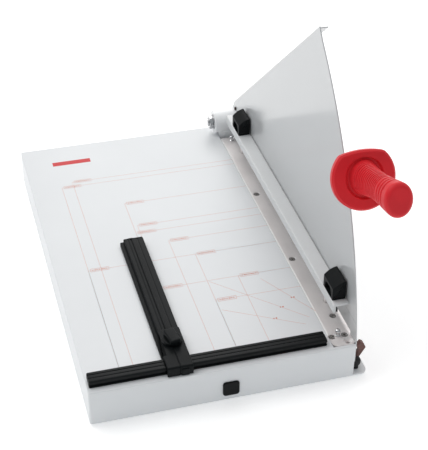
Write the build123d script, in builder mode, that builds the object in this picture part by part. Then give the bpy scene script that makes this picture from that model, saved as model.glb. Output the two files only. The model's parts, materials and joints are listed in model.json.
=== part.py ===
"""Guillotine paper cutter with a fixed blade guard, a hand-pressed clamping bar and a sliding side gauge.

Millimetres, +Z up. X runs across the table towards the knife and Y runs along the cut, away from the user.
The origin is under the middle of the whole cutter, on the surface it stands on. Sizes below are counted
from three planes: the cutting plane, the inner face of the front stop, and the table top.
"""
import math
import os

from build123d import *

os.makedirs("parts", exist_ok=True)

# ---------------------------------------------------------------- driving sizes
# Base
table_width = 342.0          # left wall to cutting plane
front_margin = 27.0          # front wall to the stop's inner face
cut_depth = 536.0            # stop's inner face to the back wall
base_height = 50.0           # table top down to the base plate's lower face
sheet = 1.5                  # base shell's sheet thickness
wall_inset = 2.4             # right wall, inside the cutting plane
plate_thickness = 2.0
flange_reach = 16.5          # base plate, outside the cutting plane
foot_height = 4.0
foot_radius = 11.0
foot_inset = 26.0
edge_round = 3.0
# Bed
bed_width = 31.0
bed_thickness = 8.0
bed_front = 22.8             # in front of the stop face
bed_end_gap = 40.0           # behind the bed knife, to the back wall
notch_back = -3.0            # guard foot's notch in the bed knife runs forward from here
beam_thickness = 12.0
pin_radius = 3.2
pin_gap = 0.7                # radial clearance round a pin
front_pin_y = 66.0
rear_pin_inset = 46.0        # from the bar's back end
pin_x = -9.0
# Pivot
pivot_inset = 21.5           # pivot to the back wall
pivot_rise = 22.0
housing_radius = 17.75
housing_left = 38.0
axle_radius = 7.0
run_gap = 0.05               # radial clearance of a turning fit
screw_gap = 0.1              # radial clearance of a screw in its hole
bush_wall = 2.5
nut_across = 19.0
# Guard
guard_sheet = 1.5
guard_lip = 11.0
paper_gap = 5.0
guard_corner_y = 170.0
guard_back_inset = 8.0       # guard's back edge, inside the back wall
guard_hub_inset = 36.0       # where the guard comes down to the bed, from the back wall
guard_corner_z = 344.0
guard_slope = 40.0           # fall of the straight top edge, degrees
arc_reach = 18.9             # arc's radius, beyond the pivot's distance from the stop
arc_inset = 10.2             # arc's centre, in front of the pivot
arc_z = -75.5
# Arm
raise_angle = 22.15          # arm above level, as stored
drop_angle = 2.5             # arm below level, on its buffer
knife_gap = 0.15
knife_thickness = 3.0
carrier_thickness = 5.0
knife_front = 0.5            # knife's end in front of the stop face, arm level
disc_clearance = 3.0         # disc's rear face in front of the front wall, arm level
handle_x = 0.0               # hand disc's axis, outside the cutting plane
grip_x = 0.8                 # grip's axis, outside the cutting plane
handle_droop = 4.8           # grip's axis below the arm's line, degrees
disc_radius = 39.5
disc_flat = 32.0
disc_thickness = 9.0
grip_length = 101.5
grip_tall = 20.8             # half height at the grip's flared end
grip_slim = 17.4             # half width there
end_round = 6.0
stud_radius = 2.75
stud_length = 60.0           # into the handle, from the disc's rear face
# Pressing bar
bar_left = 22.9
bar_right = 3.4
bar_front = 7.0
bar_back_inset = 42.0        # bar's back end, from the back wall
bar_top = 42.0
bar_depth = 12.5
bar_sheet = 3.0
grip_front_y = 15.5
grip_rear_inset = 65.0       # rear grip's front face, from the bar's back end
bar_grip_length = 34.5
bar_grip_low = 17.0          # left side's height above the bar
bar_grip_high = 27.0         # right side's height
bar_grip_inset = 1.0
opening_height = 12.0        # finger opening in the grip's low side
opening_depth = 5.0
grip_screw_side = 13.5       # screws, each side of a bar grip's middle
# Front rail and side gauge
rail_inset = 3.0             # rail's left end, inside the left wall
rail_right = 38.0
rail_depth = 18.0
rail_height = 10.0
gauge_left = 244.0
gauge_width = 32.5
gauge_back = 254.0
gauge_front = 24.0
gauge_arm_top = 10.0
gauge_head_top = 14.0
gauge_head_back = 50.0
slide_gap = 0.3
knob_radius = 12.5

# ---------------------------------------------------------------- places worked out from them
guide_radius = pin_radius + pin_gap
pivot_y = cut_depth - pivot_inset
bed_back = cut_depth - bed_end_gap
bar_back = cut_depth - bar_back_inset
rear_pin_y = bar_back - rear_pin_inset
grip_rear_y = bar_back - grip_rear_inset
knife_length = pivot_y + knife_front
arm_reach = pivot_y + front_margin + disc_clearance
arc_radius = pivot_y + arc_reach
arc_y = pivot_y - arc_inset
rail_left = table_width - rail_inset
arm_rise = math.radians(raise_angle)
grip_rise = math.radians(raise_angle - handle_droop)
stud_x = knife_gap + (knife_thickness + carrier_thickness) / 2
right_reach = handle_x + disc_radius
front_reach = ((arm_reach + disc_thickness) * math.cos(arm_rise) + (grip_length - end_round) * math.cos(grip_rise)
               + (grip_tall - end_round) * math.sin(grip_rise) + end_round - pivot_y)
cut_x = (table_width - right_reach) / 2
stop_y = (front_reach - cut_depth) / 2
top_z = foot_height + base_height

left_x = cut_x - table_width
wall_x = cut_x - wall_inset
front_y = stop_y - front_margin
back_y = stop_y + cut_depth
plate_z = foot_height + plate_thickness
ledge_z = top_z - bed_thickness
trench_x = cut_x - bed_width - 0.4
trench_front = stop_y - bed_front - 0.4
axis_y = stop_y + pivot_y
axis_z = top_z + pivot_rise
base_mid_x = (left_x + wall_x) / 2
base_mid_y = (front_y + back_y) / 2
beam_top = ledge_z - sheet
bar_mid_x = cut_x - (bar_left + bar_right) / 2
web_z = top_z + bar_top - bar_sheet
guide_x = cut_x + pin_x
pin_bottom = ledge_z
guide_spots = [(guide_x, stop_y + front_pin_y), (guide_x, stop_y + rear_pin_y)]
carrier_x = cut_x + knife_gap + knife_thickness
outer_x = carrier_x + carrier_thickness
guard_x = wall_x
arm_start = Vector(0, axis_y, axis_z)


def box(x0, x1, y0, y1, z0, z1, mode=Mode.ADD):
    """A block between two corners, in the piece being built."""
    with BuildSketch(Plane.XY.offset(z0)) as profile:
        with Locations(((x0 + x1) / 2, (y0 + y1) / 2)):
            Rectangle(x1 - x0, y1 - y0)
    extrude(profile.sketch, amount=z1 - z0, mode=mode)


def post(spots, radius, z0, z1, mode=Mode.ADD):
    """Upright cylinders at (x, y) spots, in the piece being built."""
    with BuildSketch(Plane.XY.offset(z0)) as profile:
        with Locations(*spots):
            Circle(radius)
    extrude(profile.sketch, amount=z1 - z0, mode=mode)


def rod(y, z, radius, x0, x1, mode=Mode.ADD):
    """A cylinder along X from x0 to x1, in the piece being built."""
    with BuildSketch(Plane.YZ.offset(x0)) as profile:
        with Locations((y, z)):
            Circle(radius)
    extrude(profile.sketch, amount=x1 - x0, mode=mode)


def arm_plane(x):
    """Plane across the arm's pivot at one X: its own X runs out along the arm, its own Y rises from it."""
    out = Vector(0, -math.cos(arm_rise), math.sin(arm_rise))
    return Plane(origin=(x, axis_y, axis_z), x_dir=out, z_dir=(-1, 0, 0))


def closed_arm_spot(y, z):
    """Where a point at model (y, z) lies in the arm's own plane once the arm is down on its buffer."""
    drop = math.radians(drop_angle)
    dy = y - axis_y
    dz = z - axis_z
    return (-dy * math.cos(drop) - dz * math.sin(drop), dz * math.cos(drop) - dy * math.sin(drop))


def reach_plane(reach):
    """Plane square to the arm's line: its own X is the model's X, its own Y rises. Its origin is in the knife's plane."""
    out = Vector(0, -math.cos(arm_rise), math.sin(arm_rise))
    spot = arm_start + out * reach
    return Plane(origin=(cut_x, spot.Y, spot.Z), x_dir=(1, 0, 0), z_dir=out)


def grip_plane(distance):
    """Plane square to the grip's own line, which droops from the arm's at the disc's front face."""
    out = Vector(0, -math.cos(grip_rise), math.sin(grip_rise))
    spot = reach_plane(arm_reach + disc_thickness).origin + out * distance
    return Plane(origin=(cut_x + grip_x, spot.Y, spot.Z), x_dir=(1, 0, 0), z_dir=out)


# ---------------------------------------------------------------- base
channel_spots = [stop_y + cut_depth * share for share in (1 / 6, 1 / 2, 5 / 6)]
channel_width = 24.0
channel_wall = 1.5
plate_screw_x = [left_x + 60.0, base_mid_x, trench_x - 30.0]
plate_screw_spots = [(x, y) for x in plate_screw_x for y in channel_spots]
plate_screw_radius = 2.0
beam_left = trench_x
beam_right = wall_x - sheet - 1.0
beam_front = trench_front + sheet + 1.0
beam_back = back_y - sheet - 4.0
bed_screw_spots = [(cut_x - 9.5, stop_y - 2.9), (cut_x - 26.5, stop_y - 3.2), (cut_x - 10.9, stop_y + 36.0),
                   (cut_x - 22.5, stop_y + bed_back / 3), (cut_x - 22.5, stop_y + bed_back * 2 / 3)]
bed_screw_radius = 2.5
bed_screw_head = 4.6
open_hole_spot = (cut_x - 9.0, stop_y - 15.0)
open_hole_radius = 2.6
open_hole_sink = 6.2
post_spots = [(cut_x - 18.6, stop_y - 2.0), (cut_x - 15.6, stop_y + bed_back - 9.0)]
post_radius = 2.5
post_head = 4.0
post_heights = (10.0, 8.8)    # front and rear
foot_spots = [(x, y) for x in (left_x + foot_inset, wall_x - foot_inset)
              for y in (front_y + foot_inset, back_y - foot_inset)]
foot_screw_radius = 2.0
housing_screw_spots = [(cut_x - 26.0, axis_y), (cut_x - 12.0, axis_y)]
housing_screw_radius = 3.0
guard_screw_y = [stop_y - 13.6, stop_y - 7.2]
guard_screw_z = top_z - 24.0
guard_screw_radius = 1.75
plug_x = cut_x - 165.0
plug_z = top_z - 32.0
plug_size = 21.0
plug_hole = 15.0
rail_middle = (rail_left + rail_right) / 2
rail_screw_spots = [(cut_x - x, stop_y - rail_depth / 2) for x in (rail_left - 14.0, rail_middle, rail_right + 17.0)]
rail_screw_radius = 2.0

with BuildPart() as base_shell:
    box(left_x, wall_x, front_y, back_y, plate_z, top_z)
    fillet(base_shell.edges().filter_by(Axis.Z), radius=edge_round)
    fillet(base_shell.edges().group_by(Axis.Z)[-1], radius=edge_round / 2)
    box(left_x + sheet, wall_x - sheet, front_y + sheet, back_y - sheet, plate_z, top_z - sheet,
        Mode.SUBTRACT)
    # Tray that the bed knife lies in, open to the right
    box(trench_x - sheet, wall_x, trench_front - sheet, back_y - sheet, beam_top, top_z - sheet)
    box(trench_x, cut_x + 5.0, trench_front, back_y - 2 * sheet, ledge_z, top_z + 5.0, Mode.SUBTRACT)
    post(bed_screw_spots + post_spots + [open_hole_spot], bed_screw_radius + screw_gap, beam_top, ledge_z, Mode.SUBTRACT)
    post(guide_spots, guide_radius, beam_top, ledge_z, Mode.SUBTRACT)
    post(housing_screw_spots, housing_screw_radius + screw_gap, beam_top, ledge_z, Mode.SUBTRACT)
    post(rail_screw_spots, rail_screw_radius + screw_gap, top_z - sheet, top_z, Mode.SUBTRACT)
    for y in guard_screw_y:
        rod(y, guard_screw_z, guard_screw_radius + screw_gap, wall_x - sheet, wall_x, Mode.SUBTRACT)
    with BuildSketch(Plane.XZ.offset(-front_y - sheet)):
        with Locations((plug_x, plug_z)):
            RectangleRounded(plug_hole, plug_hole, 2.0)
    extrude(amount=sheet, mode=Mode.SUBTRACT)

with BuildPart() as base_plate:
    plate_right = cut_x + flange_reach
    box(left_x, plate_right, front_y, back_y, foot_height, plate_z)
    fillet(base_plate.edges().filter_by(Axis.Z).sort_by(Axis.X)[-2:], radius=9.0)
    fillet(base_plate.edges().filter_by(Axis.Z).sort_by(Axis.X)[:2], radius=edge_round)
    post(plate_screw_spots, plate_screw_radius + screw_gap, foot_height, plate_z, Mode.SUBTRACT)
    post(foot_spots, foot_screw_radius + screw_gap, foot_height, plate_z, Mode.SUBTRACT)

# Cross channels under the table, closed below so that the plate screws bite
with BuildPart() as cross_channels:
    for y in channel_spots:
        box(left_x + sheet, trench_x - sheet, y - channel_width / 2, y + channel_width / 2,
            plate_z, top_z - sheet)
        box(left_x, trench_x, y - channel_width / 2 + channel_wall, y + channel_width / 2 - channel_wall,
            plate_z + channel_wall, top_z - sheet - channel_wall, Mode.SUBTRACT)
    post(plate_screw_spots, plate_screw_radius + screw_gap, plate_z, plate_z + channel_wall, Mode.SUBTRACT)

with BuildPart() as plate_screws:
    for x, y in plate_screw_spots:
        post([(x, y)], plate_screw_radius, foot_height, plate_z + 5.0)
        post([(x, y)], 4.0, foot_height - 1.8, foot_height)
        post([(x, y)], 1.1, foot_height - 1.8, foot_height - 0.6, Mode.SUBTRACT)

with BuildPart() as feet:
    post(foot_spots, foot_radius, 0.0, foot_height)
    chamfer(feet.edges().group_by(Axis.Z)[0], length=1.0)
    post(foot_spots, foot_screw_radius + screw_gap, 0.0, foot_height, Mode.SUBTRACT)
    post(foot_spots, 4.4, 0.0, 2.4, Mode.SUBTRACT)

with BuildPart() as foot_screws:
    for x, y in foot_spots:
        post([(x, y)], foot_screw_radius, 2.4, plate_z + 6.0)
        post([(x, y)], 4.0, 0.6, 2.4)
        post([(x, y)], 1.1, 0.6, 1.8, Mode.SUBTRACT)

with BuildPart() as foot_nuts:
    for x, y in foot_spots:
        with BuildSketch(Plane.XY.offset(plate_z)):
            with Locations((x, y)):
                RegularPolygon(radius=3.5, side_count=6, major_radius=False)
        extrude(amount=3.2)
        post([(x, y)], foot_screw_radius + screw_gap, plate_z, plate_z + 3.2, Mode.SUBTRACT)

# Steel beam under the bed knife, which carries the bed, the pivot housing and the pin guides
with BuildPart() as support_beam:
    box(beam_left, beam_right, beam_front, beam_back, beam_top - beam_thickness, beam_top)
    post(bed_screw_spots + post_spots, bed_screw_radius + screw_gap, beam_top - beam_thickness, beam_top,
         Mode.SUBTRACT)
    post(guide_spots, guide_radius + 1.0, beam_top - beam_thickness, beam_top, Mode.SUBTRACT)
    post(housing_screw_spots, housing_screw_radius + screw_gap, beam_top - beam_thickness, beam_top,
         Mode.SUBTRACT)

with BuildPart() as bed_knife:
    with BuildSketch(Plane.XY.offset(ledge_z)):
        with BuildLine():
            Polyline((cut_x - bed_width, stop_y - bed_front), (wall_x, stop_y - bed_front),
                     (wall_x, stop_y + notch_back), (cut_x, stop_y + notch_back),
                     (cut_x, stop_y + bed_back), (cut_x - bed_width, stop_y + bed_back), close=True)
        make_face()
    extrude(amount=bed_thickness)
    fillet(bed_knife.edges().filter_by(Axis.Z).group_by(Axis.Y)[0].sort_by(Axis.X)[0], radius=8.0)
    fillet(bed_knife.edges().filter_by(Axis.Z).group_by(Axis.Y)[0].sort_by(Axis.X)[-1], radius=4.0)
    post(guide_spots, guide_radius, ledge_z, top_z, Mode.SUBTRACT)
    post(post_spots, post_radius + screw_gap, ledge_z, top_z, Mode.SUBTRACT)
    with Locations(*[(x, y, top_z) for x, y in bed_screw_spots]):
        CounterSinkHole(radius=bed_screw_radius + screw_gap, counter_sink_radius=bed_screw_head + 0.5,
                        depth=bed_thickness)
    with Locations((*open_hole_spot, top_z)):
        CounterSinkHole(radius=open_hole_radius, counter_sink_radius=open_hole_sink, depth=bed_thickness)
    long_edge = bed_knife.edges().filter_by(Axis.Y).group_by(Axis.Z)[-1].sort_by(Axis.X)[0]
    chamfer(long_edge, length=1.5)

with BuildPart() as bed_knife_screws:
    for x, y in bed_screw_spots:
        post([(x, y)], bed_screw_radius, beam_top - beam_thickness, top_z - 2.0)
        with BuildSketch(Plane.XY.offset(top_z - 0.6)):
            with Locations((x, y)):
                Circle(bed_screw_head - 0.3)
        extrude(amount=-(bed_screw_head - 0.3 - bed_screw_radius), taper=45)
        with BuildSketch(Plane.XY.offset(top_z - 0.6)):
            with Locations((x, y)):
                RegularPolygon(radius=1.5, side_count=6)
        extrude(amount=-1.6, mode=Mode.SUBTRACT)

# Domed chrome posts at both ends of the pressing bar
with BuildPart() as bed_posts:
    for (x, y), height in zip(post_spots, post_heights):
        post([(x, y)], post_radius, beam_top - beam_thickness, top_z)
        with BuildSketch(Plane.XY.offset(top_z)):
            with Locations((x, y)):
                Circle(post_head)
        extrude(amount=height - 3.0)
        with BuildSketch(Plane.XY.offset(top_z + height - 3.0)):
            with Locations((x, y)):
                Circle(post_head)
        extrude(amount=3.0, taper=30)

with BuildPart() as guide_sleeves:
    for spot in guide_spots:
        post([spot], guide_radius + 1.0, plate_z + 1.0, beam_top)
    for spot in guide_spots:
        post([spot], guide_radius, plate_z + 2.5, beam_top, Mode.SUBTRACT)

# Springs as plain tubes between the sleeves' floors and the pins
with BuildPart() as clamp_springs:
    post(guide_spots, pin_radius, plate_z + 2.5, pin_bottom)
    post(guide_spots, pin_radius - 1.0, plate_z + 2.5, pin_bottom, Mode.SUBTRACT)

with BuildPart() as front_plug:
    with BuildSketch(Plane.XZ.offset(-front_y)):
        with Locations((plug_x, plug_z)):
            RectangleRounded(plug_size, plug_size, 4.0)
    extrude(amount=2.5)
    fillet(front_plug.faces().sort_by(Axis.Y)[0].edges(), radius=1.0)
    with BuildSketch(Plane.XZ.offset(-front_y)):
        with Locations((plug_x, plug_z)):
            RectangleRounded(plug_hole - 0.2, plug_hole - 0.2, 1.9)
    extrude(amount=-(sheet + 4.0))

# ---------------------------------------------------------------- front rail
with BuildPart() as front_rail:
    with BuildSketch(Plane.YZ.offset(cut_x - rail_left)):
        with Locations((stop_y - rail_depth / 2, top_z + rail_height / 2)):
            Rectangle(rail_depth, rail_height)
    extrude(amount=rail_left - rail_right)
    rail_top = front_rail.edges().filter_by(Axis.X).group_by(Axis.Z)[-1]
    fillet(rail_top.sort_by(Axis.Y)[0], radius=4.0)
    fillet(front_rail.edges().filter_by(Axis.X).group_by(Axis.Z)[-1].sort_by(Axis.Y)[-1], radius=1.0)
    fillet(front_rail.edges().filter_by(Axis.Z).sort_by(Axis.X)[-2:], radius=3.0)
    # Jaw groove along the front face and two scored lines on top
    groove_left = cut_x - rail_left - 1.0
    box(groove_left, cut_x - rail_right - 12.0, stop_y - rail_depth - 1.0, stop_y - rail_depth + 2.0,
        top_z + 2.0, top_z + 5.0, Mode.SUBTRACT)
    for line_y in (stop_y - 5.0, stop_y - 11.0):
        box(groove_left, cut_x - rail_right - 3.5, line_y - 0.5, line_y + 0.5,
            top_z + rail_height - 0.6, top_z + rail_height + 1.0, Mode.SUBTRACT)
    post(rail_screw_spots, rail_screw_radius + screw_gap, top_z, top_z + 6.0, Mode.SUBTRACT)

with BuildPart() as rail_screws:
    for spot in rail_screw_spots:
        post([spot], rail_screw_radius, top_z - sheet, top_z + 5.5)
        post([spot], 3.8, top_z - sheet - 2.2, top_z - sheet)

# ---------------------------------------------------------------- pivot housing
bush_radius = axle_radius + run_gap + bush_wall
with BuildPart() as pivot_housing:
    rod(axis_y, axis_z, housing_radius, cut_x - housing_left, wall_x)
    box(cut_x - 30.5, cut_x - 7.5, axis_y - 13.0, axis_y + 13.0, ledge_z, axis_z)
    # Square flange that the guard is bolted to
    with BuildSketch(Plane.YZ.offset(wall_x - 5.0)):
        with Locations((axis_y, top_z + 14.2)):
            RectangleRounded(36.0, 44.4, 5.0)
    extrude(amount=5.0)
    rod(axis_y, axis_z, bush_radius, cut_x - housing_left, wall_x, Mode.SUBTRACT)
    chamfer(pivot_housing.edges().filter_by(GeomType.CIRCLE).sort_by(Axis.X)[1], length=1.2)
    guard_bolt_spots = [(axis_y - 3.0, top_z + 42.3), (axis_y - 15.0, top_z + 41.0)]
    post(housing_screw_spots, housing_screw_radius + screw_gap, ledge_z, ledge_z + 9.0, Mode.SUBTRACT)

with BuildPart() as housing_screws:
    for spot in housing_screw_spots:
        post([spot], housing_screw_radius, beam_top - beam_thickness, ledge_z + 8.0)
        post([spot], 5.0, beam_top - beam_thickness - 6.0, beam_top - beam_thickness)

with BuildPart() as pivot_bushes:
    for x0 in (cut_x - housing_left, wall_x - 14.0):
        rod(axis_y, axis_z, bush_radius, x0, x0 + 14.0)
    rod(axis_y, axis_z, axle_radius + run_gap, cut_x - housing_left, wall_x, Mode.SUBTRACT)

# ---------------------------------------------------------------- blade guard
slope = math.radians(guard_slope)
guard_back_y = back_y - guard_back_inset
guard_hub_y = back_y - guard_hub_inset
top_back_y = guard_back_y - 8.5
top_back_z = top_z + guard_corner_z - (top_back_y - stop_y - guard_corner_y) * math.tan(slope)
arc_center = Vector(stop_y + arc_y, top_z + arc_z)
foot_tip_z = top_z + 2.0


def on_arc(z):
    """The guard's front edge at one height: a circle about a point behind and below the pivot."""
    return arc_center.X - math.sqrt(arc_radius ** 2 - (z - arc_center.Y) ** 2)


arc_top_z = top_z + 330.0
arc_mid_z = top_z + 180.0
foot_back_y = stop_y - 4.0
foot_low_z = top_z - 30.0
guard_hole = 11.5
with BuildPart() as guard_plate:
    with BuildSketch(Plane.YZ.offset(guard_x)):
        with BuildLine():
            front_edge = ThreePointArc((on_arc(foot_tip_z), foot_tip_z), (on_arc(arc_mid_z), arc_mid_z),
                                       (on_arc(arc_top_z), arc_top_z))
            corner = Line(front_edge @ 1, (stop_y + guard_corner_y, top_z + guard_corner_z))
            top_edge = Line(corner @ 1, (top_back_y, top_back_z))
            round_back = Line(top_edge @ 1, (guard_back_y, top_z + 37.0))
            down = Line(round_back @ 1, (guard_back_y, top_z - 3.0))
            hub_low = Line(down @ 1, (guard_hub_y, top_z - 3.0))
            hub_front = Line(hub_low @ 1, (guard_hub_y, top_z + paper_gap))
            lower = Line(hub_front @ 1, (foot_back_y, top_z + paper_gap))
            foot_back = Line(lower @ 1, (foot_back_y, foot_low_z))
            foot_low = Line(foot_back @ 1, (on_arc(foot_tip_z), foot_low_z))
            Line(foot_low @ 1, front_edge @ 0)
        make_face()
    extrude(amount=guard_sheet)
    # Lip bent outwards along the sloping top edge
    with BuildSketch(Plane.YZ.offset(guard_x + guard_sheet)):
        with BuildLine():
            lip_a = Vector(stop_y + guard_corner_y + 4.0, top_z + guard_corner_z - 4.0 * math.tan(slope))
            lip_b = Vector(top_back_y, top_back_z)
            inward = Vector(-math.sin(slope), -math.cos(slope)) * guard_sheet
            Polyline((lip_a.X, lip_a.Y), (lip_b.X, lip_b.Y), (lip_b.X + inward.X, lip_b.Y + inward.Y),
                     (lip_a.X + inward.X, lip_a.Y + inward.Y), close=True)
        make_face()
    extrude(amount=guard_lip)
    rod(axis_y, axis_z, guard_hole, guard_x, guard_x + guard_sheet, Mode.SUBTRACT)
    for y, z in guard_bolt_spots:
        rod(y, z, 2.0 + screw_gap, guard_x, guard_x + guard_sheet, Mode.SUBTRACT)
    for y in guard_screw_y:
        rod(y, guard_screw_z, guard_screw_radius + screw_gap, guard_x, guard_x + guard_sheet, Mode.SUBTRACT)

# Dome-headed bolts above the housing, with their nuts behind the guard
bolt_nut_width = 2.2
with BuildPart() as guard_bolts:
    for y, z in guard_bolt_spots:
        rod(y, z, 2.0, guard_x, guard_x + guard_sheet + bolt_nut_width)
        rod(y, z, 2.6, guard_x - 2.4, guard_x)
    fillet(guard_bolts.edges().filter_by(GeomType.CIRCLE).group_by(Axis.X)[0], radius=2.0)

with BuildPart() as guard_bolt_nuts:
    for y, z in guard_bolt_spots:
        with BuildSketch(Plane.YZ.offset(guard_x + guard_sheet)):
            with Locations((y, z)):
                RegularPolygon(radius=3.3, side_count=6, major_radius=False)
        extrude(amount=bolt_nut_width)
        rod(y, z, 2.0 + screw_gap, guard_x + guard_sheet, guard_x + guard_sheet + bolt_nut_width, Mode.SUBTRACT)

with BuildPart() as guard_screws:
    for y in guard_screw_y:
        rod(y, guard_screw_z, guard_screw_radius, wall_x - sheet - 6.0, guard_x + guard_sheet)
        rod(y, guard_screw_z, 2.8, guard_x + guard_sheet, guard_x + guard_sheet + 0.6)

# ---------------------------------------------------------------- stop buffer and arm latch
buffer_spot = (cut_x + 4.4, stop_y - 15.0)
buffer_top = top_z - 31.2
buffer_radius = 5.8
buffer_stem = 3.4
buffer_low = plate_z + 5.0
with BuildPart() as stop_buffer:
    post([buffer_spot], buffer_radius, buffer_low, buffer_top)
    fillet(stop_buffer.edges().group_by(Axis.Z)[-1], radius=buffer_radius - 0.8)
    fillet(stop_buffer.edges().group_by(Axis.Z)[0], radius=4.5)
    post([buffer_spot], buffer_stem, plate_z, buffer_low + 3.0)

latch_x = cut_x + 7.2
latch_z = plate_z + 6.5
latch_front = stop_y - 6.0
latch_thick = 6.0
beak_x = outer_x + 0.45
beak_low = 17.5              # beak's underside above the latch's pin
beak_high = 21.5
beak_peak = 26.5
with BuildPart() as latch_bracket:
    box(latch_x - 4.0, latch_x + 4.0, latch_front - 2.3, latch_front + latch_thick + 2.3, plate_z, plate_z + 1.5)
    for y in (latch_front - 2.3, latch_front + latch_thick + 0.3):
        with BuildSketch(Plane.XZ.offset(-y - 2.0)):
            with BuildLine():
                Line((latch_x - 4.0, plate_z), (latch_x + 4.0, plate_z))
                Line((latch_x + 4.0, plate_z), (latch_x + 4.0, latch_z))
                ThreePointArc((latch_x + 4.0, latch_z), (latch_x, latch_z + 4.0), (latch_x - 4.0, latch_z))
                Line((latch_x - 4.0, latch_z), (latch_x - 4.0, plate_z))
            make_face()
        extrude(amount=2.0)
    with BuildSketch(Plane.XZ.offset(-latch_front - latch_thick - 2.3)):
        with Locations((latch_x, latch_z)):
            Circle(1.5)
    extrude(amount=latch_thick + 4.6, mode=Mode.SUBTRACT)

with BuildPart() as latch_pin:
    with BuildSketch(Plane.XZ.offset(-latch_front - latch_thick - 3.0)):
        with Locations((latch_x, latch_z)):
            Circle(1.5)
    extrude(amount=latch_thick + 6.0)

with BuildPart() as latch:
    with BuildSketch(Plane.XZ.offset(-latch_front - latch_thick)):
        with BuildLine():
            Polyline((latch_x - 3.2, latch_z), (beak_x + 2.0, latch_z + 11.5), (beak_x + 2.0, latch_z + 17.0),
                     (beak_x, latch_z + beak_low), (beak_x, latch_z + beak_high),
                     (beak_x + 3.7, latch_z + beak_peak), (beak_x + 8.0, latch_z + 23.9),
                     (beak_x + 11.4, latch_z + 16.4), (beak_x + 9.0, latch_z + 11.9),
                     (latch_x + 3.1, latch_z - 1.0), close=True)
        make_face()
        with Locations((latch_x, latch_z)):
            Circle(3.4)
            Circle(1.5 + run_gap, mode=Mode.SUBTRACT)
    extrude(amount=latch_thick)

# ---------------------------------------------------------------- arm: axle, carrier, knife and handle
axle_left = cut_x - housing_left
nut_width = 6.0
washer_width = 1.0
washer_gap = 0.06
washer_radius = 12.0
thread_end = 2.2             # thread's end beyond the nut
thread_radius = 6.0
with BuildPart() as pivot_axle:
    rod(axis_y, axis_z, axle_radius, axle_left, outer_x)
    rod(axis_y, axis_z, thread_radius, axle_left - nut_width - 2 * (washer_width + washer_gap) - thread_end, axle_left)
    rod(axis_y, axis_z, 12.0, outer_x, outer_x + 5.0)
    fillet(pivot_axle.edges().filter_by(GeomType.CIRCLE).sort_by(Axis.X)[-1], radius=1.5)
    with BuildSketch(Plane.YZ.offset(outer_x + 5.0)):
        with Locations((axis_y, axis_z)):
            RegularPolygon(radius=4.0, side_count=6)
    extrude(amount=-3.0, mode=Mode.SUBTRACT)

with BuildPart() as disc_washers:
    for i in range(2):
        start = axle_left - (i + 1) * (washer_width + washer_gap)
        rod(axis_y, axis_z, washer_radius - i, start, start + washer_width)
    rod(axis_y, axis_z, thread_radius + run_gap, axle_left - 4.0, axle_left, Mode.SUBTRACT)

nut_right = axle_left - 2 * (washer_width + washer_gap)
with BuildPart() as lock_nut:
    with BuildSketch(Plane.YZ.offset(nut_right - nut_width)):
        with Locations((axis_y, axis_z)):
            RegularPolygon(radius=nut_across / 2, side_count=6, major_radius=False)
    extrude(amount=nut_width)
    rod(axis_y, axis_z, thread_radius, nut_right - nut_width, nut_right, Mode.SUBTRACT)

with BuildPart() as hub_spacer:
    rod(axis_y, axis_z, guard_hole - 0.8, wall_x + 0.1, carrier_x)
    rod(axis_y, axis_z, axle_radius, wall_x + 0.1, carrier_x, Mode.SUBTRACT)

hub_radius = 20.0
nose_back = knife_length + 2.0
nose_low = 29.5
stud_seat = 22.0
knife_start = 28.0
knife_screw_reach = [60.0 + i * (knife_length - 85.0) / 4 for i in range(5)]
knife_screw_radius = 2.5
with BuildPart() as blade_carrier:
    with BuildSketch(arm_plane(carrier_x + carrier_thickness)):
        with BuildLine():
            Polyline((0.0, hub_radius), (nose_back, 14.0), (arm_reach, 14.0), (arm_reach, -nose_low),
                     (nose_back - 14.0, -nose_low), (nose_back - 34.0, -11.0), (0.0, -hub_radius), close=True)
        make_face()
        Circle(hub_radius)
    extrude(amount=carrier_thickness)
    with BuildSketch(arm_plane(carrier_x)):
        with Locations(((nose_back + arm_reach) / 2, (14.0 - nose_low) / 2)):
            Rectangle(arm_reach - nose_back, 14.0 + nose_low)
    extrude(amount=knife_thickness)
    rod(axis_y, axis_z, axle_radius, carrier_x, outer_x, Mode.SUBTRACT)
    with BuildSketch(reach_plane(arm_reach)):
        with Locations((stud_x, 0.0)):
            Circle(stud_radius)
    extrude(amount=-stud_seat, mode=Mode.SUBTRACT)
    with BuildSketch(arm_plane(outer_x)):
        with Locations(*[(reach, 0.0) for reach in knife_screw_reach]):
            Circle(knife_screw_radius + screw_gap)
    extrude(amount=carrier_thickness, mode=Mode.SUBTRACT)
    # Pocket in the outer face that the latch's beak drops into once the arm is down
    with BuildSketch(arm_plane(outer_x)):
        with Locations(closed_arm_spot(latch_front + latch_thick / 2, latch_z + (beak_low + beak_peak) / 2)):
            Rectangle(latch_thick + 1.6, beak_peak - beak_low + 1.2)
    extrude(amount=3.6, mode=Mode.SUBTRACT)

with BuildPart() as upper_knife:
    with BuildSketch(arm_plane(carrier_x)):
        with BuildLine():
            edge = ThreePointArc((knife_start, -25.0), (260.0, -48.0), (knife_length, -9.0))
            tip = Line(edge @ 1, (knife_length, 9.0))
            spine = Line(tip @ 1, (knife_start, 9.0))
            Line(spine @ 1, edge @ 0)
        make_face()
    extrude(amount=knife_thickness)
    with BuildSketch(arm_plane(carrier_x)):
        with Locations(*[(reach, 0.0) for reach in knife_screw_reach]):
            Circle(knife_screw_radius + screw_gap)
    extrude(amount=knife_thickness, mode=Mode.SUBTRACT)

with BuildPart() as knife_screws:
    with BuildSketch(arm_plane(outer_x)):
        with Locations(*[(reach, 0.0) for reach in knife_screw_reach]):
            Circle(knife_screw_radius)
    extrude(amount=knife_thickness + carrier_thickness)
    with BuildSketch(arm_plane(outer_x)):
        with Locations(*[(reach, 0.0) for reach in knife_screw_reach]):
            Circle(4.5)
    extrude(amount=-2.6)

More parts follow.
